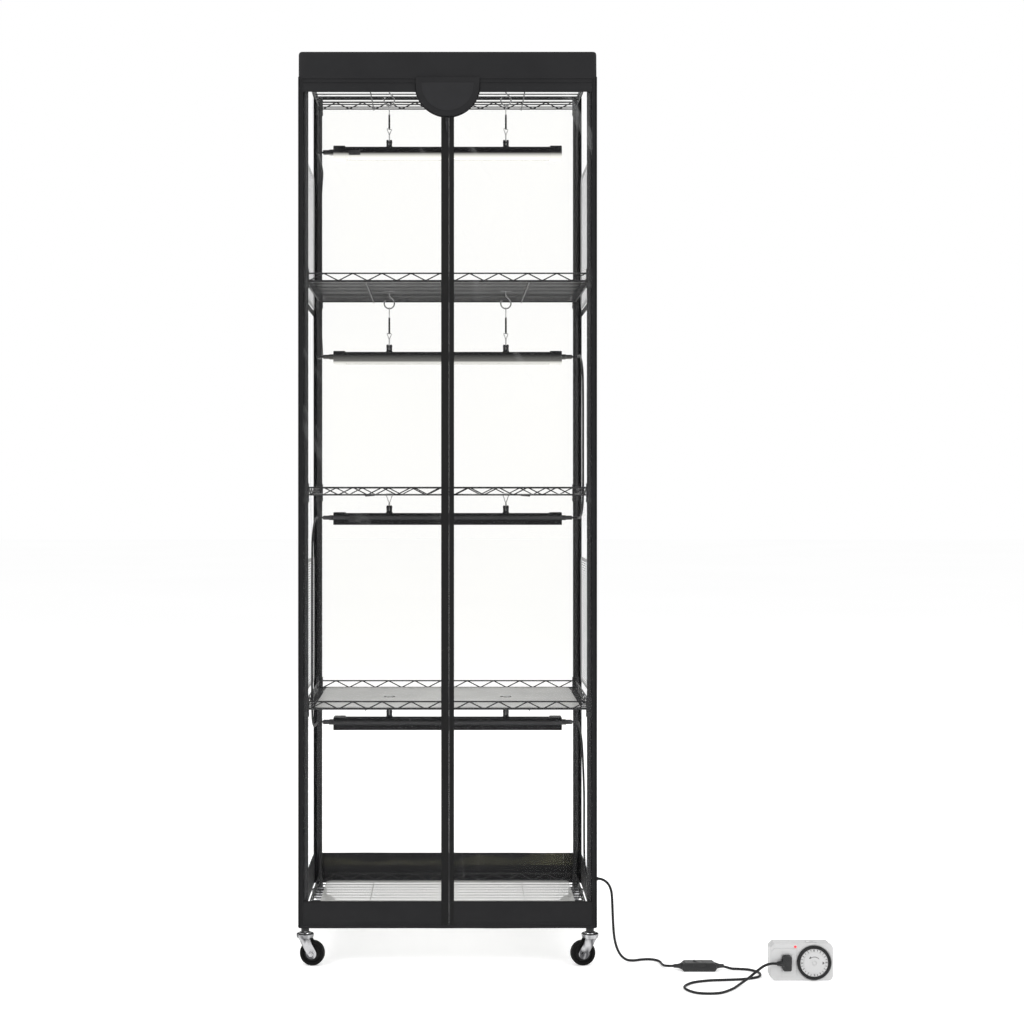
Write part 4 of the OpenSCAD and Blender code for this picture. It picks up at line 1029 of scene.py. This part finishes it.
def band_with_notch(side, z0, z1):
    """The outline of a band of the door between two heights, cut round the badge."""
    heights = [z0 + (z1 - z0) * i / 8 for i in range(9)]
    inner = [(side * math.sqrt(max(NOTCH ** 2 - min(0.0, z - BADGE_MID) ** 2, 0.0)), z) for z in heights]
    return [(side * CLOTH_X, z1), (side * CLOTH_X, z0)] + inner


def stitches(bm, start, end, pitch=4.2, index=1):
    """A row of short stitches between two points on the front."""
    a, b = Vector(start), Vector(end)
    count = int((b - a).length / pitch)
    along = (b - a).normalized()
    for i in range(count):
        mid = a + along * pitch * (i + 0.5)
        half = along * pitch * 0.32
        thick = Vector((0.28, 0.28, 0.28))
        (x0, y0, z0), (x1, y1, z1) = mid - half - thick, mid + half + thick
        block(bm, x0, x1, y0, y1, z0, z1, index=index)


for side, label in ((-1, "left"), (1, "right")):
    body = label + "_door"
    inner_x = 0.8 if side < 0 else 2.9
    outer_x = side * DOOR_X
    wide = abs(outer_x - inner_x)
    mid_x = (outer_x + inner_x) / 2
    mid_z = (DOOR_LOW + DOOR_HIGH) / 2
    high = DOOR_HIGH - DOOR_LOW

    def inside_badge(a, b, mid_x=mid_x):
        x, z = mid_x + a, mid_z + b
        return clear_of_badge(x, z) != (x, z)

    def keep_clear(a, b, mid_x=mid_x):
        x, z = clear_of_badge(mid_x + a, mid_z + b)
        return x - mid_x, z - mid_z

    panel = clear_panel(
        "door_panel_" + label, wide, high, (42, 170),
        lambda a, b, mid_x=mid_x: ((mid_x + a, -195.95, mid_z + b), (0, -1, 0)), 1.4, door_vinyl,
        body, "door_film_" + label, hole=inside_badge, clip=keep_clear)
    cut = (BADGE_R * (DOOR_HIGH - BADGE_MID) + math.pi * BADGE_R ** 2 / 4) * MM * MM
    wide * MM
    wide * high * MM * MM - cut
    bm = bmesh.new()
    plate(bm, band_with_notch(side, 1756.9, DOOR_HIGH), CLOTH_FRONT, CLOTH_BACK, "Y", 0.3)
    block(bm, side * CLOTH_X, inner_x, CLOTH_FRONT, CLOTH_BACK, DOOR_LOW, 129, 0.4)
    block(bm, outer_x - side * 2, inner_x, -197.8, CLOTH_BACK, 127.4, 130.4, 0.6, 3, index=2)
    s0, s1 = (-12.9, 0.8) if side < 0 else (4.8, 13)
    block(bm, s0, s1, -197.6, CLOTH_BACK, DOOR_LOW, STILE_TOP, 0.5, 3, index=3)
    t0, t1 = (-4, 2.7) if side < 0 else (2.9, 5)
    block(bm, t0, t1, -196.3, -195.9, DOOR_LOW, STILE_TOP, index=2)
    for x in ((-11.4, -1.6) if side < 0 else (6.2, 11.6)):
        stitches(bm, (x, -197.6, DOOR_LOW + 4), (x, -197.6, STILE_TOP - 4))
    clear = math.copysign(NOTCH + 6, side)
    for z in (1759.5, 1771.2):
        stitches(bm, (clear, CLOTH_FRONT, z), (outer_x - side * 6, CLOTH_FRONT, z))
    stitches(bm, (inner_x + side * 16, CLOTH_FRONT, 86), (outer_x - side * 6, CLOTH_FRONT, 86))
    piece("door_cloth_" + label, bm, [cloth, thread, piping, stile_cloth], body,
          ["door_border_" + label])
    bm = bmesh.new()
    z = DOOR_LOW + (0 if side < 0 else TOOTH)
    tooth0, tooth1 = (0.9, 2.75) if side < 0 else (2.85, 4.7)
    while z < STILE_TOP - 1:
        block(bm, tooth0, tooth1, -197.5, -195.9, z, z + TOOTH)
        z += 2 * TOOTH
    piece("zip_teeth_" + label, bm, black_plastic, body, smooth=0)

# %% [markdown]
# The slider is a small cast body with a bridge, and its tab hangs from a pin. It rides
# down the left door, and the tab can be lifted.

# %% Zip slider and pull
bm = bmesh.new()
plate(bm, [(-4.2, 1703), (-3, 1705), (1.4, 1705), (2.6, 1703), (2.6, 1694), (1.2, 1689), (-2.8, 1689),
           (-4.2, 1694)], -199.2, -197.7, "Y", 0.5)
for x in (-4.2, 1.6):
    plate(bm, [(-199, 1696.5), (-199, 1704.6), (-201, 1704.2), (-202.8, 1702), (-202.8, 1699),
               (-201, 1697)], x, x + 1, "X", 0.25)
turned(bm, [(0, -4), (0.6, -4), (0.6, 2.4), (0, 2.4)], (0, -201.4, 1700.5), "X", 16)
piece("slider_body", bm, black_plastic, "zip_slider", ["zip_slider"])
bm = bmesh.new()
plate(bm, [(-1.6, 1699.2), (0, 1699.2), (1.3, 1697), (1.5, 1680), (0.8, 1676), (-2.4, 1676), (-3.1, 1680),
           (-2.9, 1697)], -201.9, -200.9, "Y", 0.35)
turned(bm, [(0.68, -2.9), (1.5, -2.9), (1.5, 1.3), (0.68, 1.3)], (0, -201.4, 1700.5), "X", 20)
piece("slider_tab", bm, dark_plate, "zip_pull", ["zip_pull"])

# %% [markdown]
# The light bars are satin black with a lit board. A board glows softly, its squares shine,
# and the lens is a sheet of clear plastic with a slight haze.


# %% Finishes of the lights
LIGHT_Z = [1660, 1225, 883, 448.5]


def lit(name, colour, strength):
    finish = Finish(name, Roughness=0.4)
    finish.set("Base Color", finish.blend(finish.grain(400), colour, (1, 1, 1)))
    finish.set("Emission Color", finish.blend(finish.grain(300), colour, (1, 1, 0.96)))
    finish.set("Emission Strength", strength)
    return finish.material


def lamp_shell():
    """Satin black, with painted light. The upper two bars show a painted glow, the spill of the lit
    lens, on their lower edge, and the lower two a painted grey sheen along the middle, at heights
    counted from each bar's foot."""
    finish = Finish("light_shell", Specular_Ior_Level=0.2)
    z = finish.axis("Z")
    bar_1, bar_2, bar_3, bar_4 = [foot * MM for foot in LIGHT_Z]
    first = z.above(1.6, 0.01) * (1 - z.above(bar_1 + 0.0072, 0.009))
    low_edge = (1 - z.above(bar_2 + 0.0035, 0.002)) * 0.55
    second = z.above(1.2, 0.01) * (low_edge + (1 - z.above(bar_2 + 0.0115, 0.014)) * 0.16)
    spill = first * 0.95 + second * (1 - z.above(1.3, 0.01))
    glint = z.above(bar_3 + 0.0115, 0.003) * (1 - z.above(bar_3 + 0.0185, 0.004))
    glint = glint + z.above(bar_4 + 0.0115, 0.003) * (1 - z.above(bar_4 + 0.0185, 0.004))
    skin = finish.blend(finish.grain(35, 3), (0.003, 0.003, 0.004), (0.008, 0.008, 0.009))
    finish.set("Base Color", finish.blend(glint.clamp(), skin, (0.05, 0.05, 0.052)))
    finish.set("Roughness", 0.34 + finish.grain(160, 2) * 0.12)
    finish.set("Emission Color", finish.blend(spill.clamp(), (0, 0, 0), (1, 0.99, 0.93)))
    finish.set("Emission Strength", 1.0)
    return finish.bump(finish.grain(2600, 2), 0.00004).material


light_shell = lamp_shell()
led_board = lit("led_board", (0.95, 0.94, 0.9), 0.35)
led_chip = lit("led_chip", (1.0, 0.96, 0.82), 3.2)
lens_clear = Finish("lens_clear", Roughness=0.12, Base_Color=(0.96, 0.96, 0.95))
lens_clear.set("Alpha", 0.16 + lens_clear.grain(300, 2) * 0.08)
lens_clear = lens_clear.material

# %% [markdown]
# Four light bars hang one to a tier, every second one turned end for end so that the leads
# are short. The bar is a black channel with moulded end caps. Below sits a white board with
# two rows of small lit squares behind a clear lens, and a rocker stands near one end.

# %% Light bars
DECKS = [top - RAIL_GAP for top in SHELF_TOPS]
HANG_X = 124.0
BAR_END = 242.0
CHIPS = 54


def light_bar(index):
    tier = index - 1
    here = moved((0, 0, LIGHT_Z[tier]), 180 if index in (2, 4) else 0)
    name = "light_%d" % index
    bm = bmesh.new()
    for foot, x0, x1 in ((0, -218, -209.3), (0, -184.7, 218), (16.6, -209.3, -184.7)):
        channel = [(-19, foot), (-19, 20.5), (-18, 22.6), (-15.6, 24), (15.6, 24), (18, 22.6), (19, 20.5),
                   (19, 0), (17.6, 0), (17.6, 20.2), (15.2, 22.6), (-15.2, 22.6), (-17.6, 20.2),
                   (-17.6, foot)]
        plate(bm, channel, x0, x1, "X", matrix=here)
    block(bm, -209.3, -184.7, -19, -17.6, 0, 6, matrix=here)
    for y in (-12, -6, 0, 6, 12):
        block(bm, -216, 216, y - 0.7, y + 0.7, 23.6, 24.8, 0.3, 1, matrix=here)
    cap = [(-19.6, 0), (-19.6, 21), (-17.4, 25.6), (-15, 26.7), (15, 26.7), (17.4, 25.6), (19.6, 21),
           (19.6, 0)]
    for side in (-1, 1):
        plate(bm, cap, side * 217, side * BAR_END, "X", 1.2, matrix=here, segments=3)
        if index > 1 or side < 0:
            block(bm, side * 241, side * 252, -7.4, 7.4, 9.8, 20.2, 1.2, matrix=here)
            block(bm, side * 251, side * 265, -6.4, 6.4, 10.9, 19.1, 1.6, 3, matrix=here)
            for grip in range(4):
                x = side * (254 + grip * 2.6)
                block(bm, x, x + side * 1.2, -6.9, 6.9, 10.5, 19.5, 0.5, 1, matrix=here)
    piece(name + "_shell", bm, light_shell, name, ["light_housing_%d" % index])
    bm = bmesh.new()
    block(bm, -216.5, 216.5, -17.4, 17.4, 4, 5.4, matrix=here)
    for row in (-8.5, 8.5):
        for k in range(CHIPS):
            x = -210 + k * 420 / (CHIPS - 1)
            block(bm, x - 1.9, x + 1.9, row - 1.9, row + 1.9, 3.2, 4.1, index=1, matrix=here)
    piece(name + "_leds", bm, [led_board, led_chip], name, smooth=0)
    bm = bmesh.new()
    block(bm, -217, 217, -17.5, 17.5, 0.4, 2.2, 0.4, matrix=here)
    piece(name + "_window", bm, lens_clear, name, ["light_lens_%d" % index])
    bm = bmesh.new()
    tip = here @ moved((-197, -18.3, 6.1), -6)
    plate(bm, [(-11.7, -1.6), (-6, -0.8), (0, -0.4), (6, -0.8), (11.7, -1.6), (11.7, 3), (-11.7, 3)],
          0, 10.4, "Z", 0.4, matrix=tip)
    block(bm, 7.4, 8.2, -2.1, -1, 3, 7.4, 0.2, 1, matrix=tip)
    piece(name + "_rocker", bm, black_plastic, name + "_switch", ["light_switch_%d" % index])


for index in (1, 2, 3, 4):
    light_bar(index)

# %% [markdown]
# The upper two lights hang from chrome S-hooks on links, rods and small rings. The lower
# two hang from triangle rings straight on the deck wire. Rings are closed bent wire.


# %% Hooks and hangers
def triangle(z0, z1, wide, x):
    """A triangle ring with its point down, turned halfway to show its face."""
    d = Vector((0.707, 0.707, 0)) * wide / 2
    points = [Vector((x, 0, z0)), Vector((x, 0, z1)) + d, Vector((x, 0, z1)) - d]
    return bent(points, 4.2, closed=True, steps=6)


def oval(x, z_top, z_low, r):
    path = []
    for start, z in ((0, z_top), (180, z_low)):
        for k in range(13):
            t = math.radians(start + 15 * k)
            path.append((x, r * math.cos(t), z + r * math.sin(t)))
    return path


LOOP = [(0, -3, -4), (0, -3.1, -1.5), (0, -3, 0), (0, -2.12, 2.12), (0, 0, 3), (0, 2.12, 2.12), (0, 3, 0),
        (0, 2.7, -4), (0.3, 1.5, -8), (2.4, 0.2, -11.5), (6.6, 0, -15.2), (9.6, 0, -19.6)]
CRADLE_R, CRADLE_Z = 10.85, -25.05
CRADLE = [(x, 0, z) for x, z in arc(0, CRADLE_Z, CRADLE_R, 0, -220, 11)]
bm = bmesh.new()
for tier in (0, 1):
    for x in (-HANG_X, HANG_X):
        hook = [Vector((x, 0, DECKS[tier])) + Vector(p) for p in LOOP + CRADLE]
        wires(bm, [spline(hook, 3)], 3.0, 12)
piece("chrome_hooks", bm, chrome, "cabinet", ["s_hooks"])


def hangers(index):
    tier = index - 1
    top = LIGHT_Z[tier] + 24
    deck = DECKS[tier]
    hook = deck + CRADLE_Z - CRADLE_R
    dark, pale = bmesh.new(), bmesh.new()
    for x in (-HANG_X, HANG_X):
        block(dark, x - 7, x + 7, -7, 7, top, top + 3, 0.8)
        block(dark, x - 6, x + 6, -5.4, 5.4, top + 2, top + 5.6, 0.8)
        for x0 in (-6, 1.6):
            block(dark, x + x0, x + x0 + 4.4, -5, 5, top + 4.5, top + 17, 1.1, 3)
        turned(dark, [(0, -6.4), (1.5, -6.4), (1.5, 6.4), (0, 6.4)], (x, 0, top + 12.6), "X", 16)
        if index < 3:
            turned(pale, [(0, top + 4.8), (1.4, top + 4.8), (1.4, top + 29), (2.2, top + 29.4),
                          (2.2, top + 31), (0, top + 31)], (x, 0, 0), "Z", 18)
            wires(pale, [triangle(top + 28.6, top + 40.8, 15, x)], 2.0, 10, closed=True)
            rod_low, rod_high = top + 39.8, hook - 18.2
            turned(dark, [(0, rod_low), (1.3, rod_low), (1.9, rod_low + 1.4), (1.9, rod_high - 1.4),
                          (1.3, rod_high), (0, rod_high)], (x, 0, 0), "Z", 20)
            for k in range(4):
                z = rod_low + 4 + k * 6
                turned(dark, [(1.8, z), (2.2, z + 0.4), (2.2, z + 1.6), (1.8, z + 2)], (x, 0, 0), "Z", 20)
            wires(pale, [oval(x, hook - 1.4, hook - 16, 4)], 1.8, 10, closed=True)
        else:
            turned(pale, [(0, top + 4.8), (1.8, top + 4.8), (1.8, top + 21.5), (1.2, top + 22.9),
                          (0, top + 22.9)], (x, 0, 0), "Z", 18)
            wires(pale, [triangle(top + 21, deck + 2.45, 21, x)], 2.0, 10, closed=True)
    body = "light_%d" % index
    piece(body + "_clips", dark, dark_plate, body, ["light_hanger_%d" % index])
    piece(body + "_rings", pale, pale_wire, body)


for index in (1, 2, 3, 4):
    hangers(index)

# %% [markdown]
# Short leads chain the lights. Each of them is made in two halves, which meet at one point
# of its route. The last lead runs from the lowest light to the grommet.

# %% Leads between the lights
def turn_out(side, z, way, radius=8):
    """The first points of a lead as it leaves a connector and turns along the cover."""
    points = [(side * 265.2, 0, z)]
    for degrees in (0, 30, 60, 90):
        a = math.radians(degrees)
        points.append((side * (269.2 + radius * math.sin(a)), way * radius * (1 - math.cos(a)), z))
    return points + [(side * 277, way * 13, z)]


# Each lead: the lights that it joins, its side, whether it runs rearwards, its end heights,
# the points between, and the number of the point where its two halves meet.
LEADS = [
    (1, 2, -1, 1, 1675, 1240,
     [(-276.8, 24, 1675), (-276.4, 50, 1673.6), (-276, 90, 1668), (-276, 130, 1656),
      (-279.5, 158, 1636), (-282.4, 172, 1598), (-282.5, 175, 1530), (-282.5, 175, 1450),
      (-282.5, 175, 1370), (-282.4, 172, 1316), (-279.5, 158, 1276), (-276, 122, 1254),
      (-276, 74, 1243), (-276.8, 30, 1240)], 7),
    (2, 3, 1, -1, 1240, 898,
     [(276.8, -30, 1240), (276, -74, 1236), (275, -122, 1222), (274.5, -160, 1196),
      (274, -175, 1156), (274, -177, 1100), (274, -177, 1040), (274, -177, 985),
      (274, -175, 950), (274.5, -158, 924), (275, -122, 907), (276, -74, 900),
      (276.8, -30, 898)], 6),
    (3, 4, -1, -1, 898, 463.5,
     [(-276.8, -30, 898), (-276, -74, 894), (-275, -122, 882), (-274.5, -158, 858),
      (-274, -175, 820), (-274, -177, 750), (-274, -177, 660), (-274, -177, 570),
      (-274, -175, 522), (-274.5, -158, 491), (-275, -122, 473), (-276, -74, 466),
      (-276.8, -30, 463.5)], 6),
    (4, None, 1, -1, 463.5, None,
     [(277, -24, 463.5), (276, -76, 457), (276, -122, 436), (276, -152, 396),
      (277, -164, 340), (277, -165, 270), (277.5, -165, 215), (279.5, -165, 188),
      (284.5, -165, 173), (291, -165, 168.2), (296.6, -165, 168)], None)]
LEAD_STEPS = 5


def lead_half(name, path, light, end, way):
    bm = bmesh.new()
    wires(bm, [path], 4.2, 12)
    made = as_object(name, bm, cord_skin, 180)
    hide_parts("jumper_leads")
    start = Vector((end.x, way * 150, end.z)) * MM
    "light_%d" % light
    end * MM
    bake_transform(made)
    print(name, "length", round(cord_length(path), 3))
    path[0] * MM
    cord_length(path)
    [p * MM for p in path]


for number, (upper, lower, side, way, z_top, z_low, middle, meet) in enumerate(LEADS, 1):
    first = turn_out(side, z_top, way)
    last = turn_out(side, z_low, way)[::-1] if lower else []
    path = spline(first + middle + last, LEAD_STEPS)
    cut = (len(first) + meet) * LEAD_STEPS if lower else len(path) - 1
    lead_half("lead_%d_upper" % number, path[:cut + 1], upper, path[0], way)
    if lower:
        lead_half("lead_%d_lower" % number, path[cut:], lower, path[-1], way)

# %% [markdown]
# A caster is a stem with a ball race, a pressed fork that swivels under it, and a rubber
# wheel on a bolt. The fork stands a little turned, as it came to rest.

# %% Casters
YAW = 10.0
AXLE = (15, 0, 25)
bm = bmesh.new()
for sx, sy in CORNERS:
    at = (sx * POST_X, sy * POST_Y, 0)
    stem = [(0, 50.2), (5.5, 50.2), (7, 51.2), (7, 52.6), (4, 52.6), (4, 63.6), (11, 63.6), (12, 64.6),
            (11.4, 65.8), (4, 65.8), (4, 67.6), (5.7, 67.8), (5.7, 69.6), (4, 70), (4, 84), (0, 84)]
    turned(bm, stem, at, "Z", 32)
piece("swivel_stems", bm, zinc, "cabinet", ["caster_stems"])
for tag, (sx, sy) in zip(("fl", "fr", "rl", "rr"), CORNERS):
    here = moved((sx * POST_X, sy * POST_Y, 0), -YAW if sx < 0 else 180 + YAW)
    bm = bmesh.new()
    race = [(4.1, 54), (14, 54), (16, 55), (17.4, 58), (17.5, 62.6), (17.1, 63.1), (16, 63), (15.6, 62),
            (15.4, 60.2), (12, 59.6), (4.1, 59.6)]
    turned(bm, race, steps=44, matrix=here)
    leg = [(-11.5, 56.5), (11.5, 56.5), (17, 44), (24, 32)] + arc(15, 25, 11, 25, -195, 14) + [(-3, 40)]
    for side in (-1, 1):
        plate(bm, leg, side * 9.8, side * 11.7, "Y", 0.5, matrix=here)
        y0, y1 = side * 11.7, side * 12.5
        turned(bm, [(0, y0), (8, y0), (8, y1), (0, y1)], AXLE, "Y", 32, matrix=here)
        plate(bm, arc(15, 25, 5.4, 0, 300, 5), side * 12.4, side * 16, "Y", 0.5, matrix=here)
        bolt_end = [(0, side * 15.6), (3, side * 15.6), (2.6, side * 17.4), (0, side * 17.6)]
        turned(bm, bolt_end, AXLE, "Y", 20, matrix=here)
    turned(bm, [(0, -12), (2.95, -12), (2.95, 12), (0, 12)], AXLE, "Y", 24, matrix=here)
    piece("fork_" + tag, bm, zinc, "caster_" + tag, ["caster_fork_" + tag])
    bm = bmesh.new()
    tread = [(17.4, -6.6), (19, -8), (22.8, -8.4), (24.4, -7), (25, -4.6), (25, 4.6), (24.4, 7),
             (22.8, 8.4), (19, 8), (17.4, 6.6)]
    turned(bm, tread, AXLE, "Y", 64, matrix=here)
    hub = [(3.06, -8.5), (6.6, -8.5), (7.6, -7.8), (8, -5.6), (16.4, -4.8), (17.6, -6.8), (18.4, -7),
           (18.4, 7), (17.6, 6.8), (16.4, 4.8), (8, 5.6), (7.6, 7.8), (6.6, 8.5), (3.06, 8.5)]
    turned(bm, hub, AXLE, "Y", 48, index=1, matrix=here)
    for spoke in range(6):
        turn = here @ moved(AXLE, 60 * spoke, "Y")
        block(bm, 7.4, 17, -6.4, 6.4, -1, 1, 0.4, index=1, matrix=turn)
    piece("wheel_" + tag + "_tyre", bm, [tyre_rubber, wheel_hub], "wheel_" + tag,
          ["caster_wheel_" + tag])

# %% [markdown]
# The floor is one large white plane. It is white enough to meet the white room without a
# horizon, and it still takes the soft shadow of the casters and the cord.

# %% Floor
ground = Finish("studio_floor", Roughness=0.9, Specular_Ior_Level=0.0)
ground.set("Base Color", ground.blend(ground.grain(0.5), (0.97, 0.97, 0.97), (1.0, 1.0, 1.0)))
ground.set("Emission Color", ground.blend(ground.grain(0.5), (0.98, 0.98, 0.98), (1.0, 1.0, 1.0)))
ground.set("Emission Strength", 0.38)
bm = bmesh.new()
bmesh.ops.create_grid(bm, x_segments=4, y_segments=4, size=30)
floor = as_object("studio_floor", bm, ground.material, smooth=0)
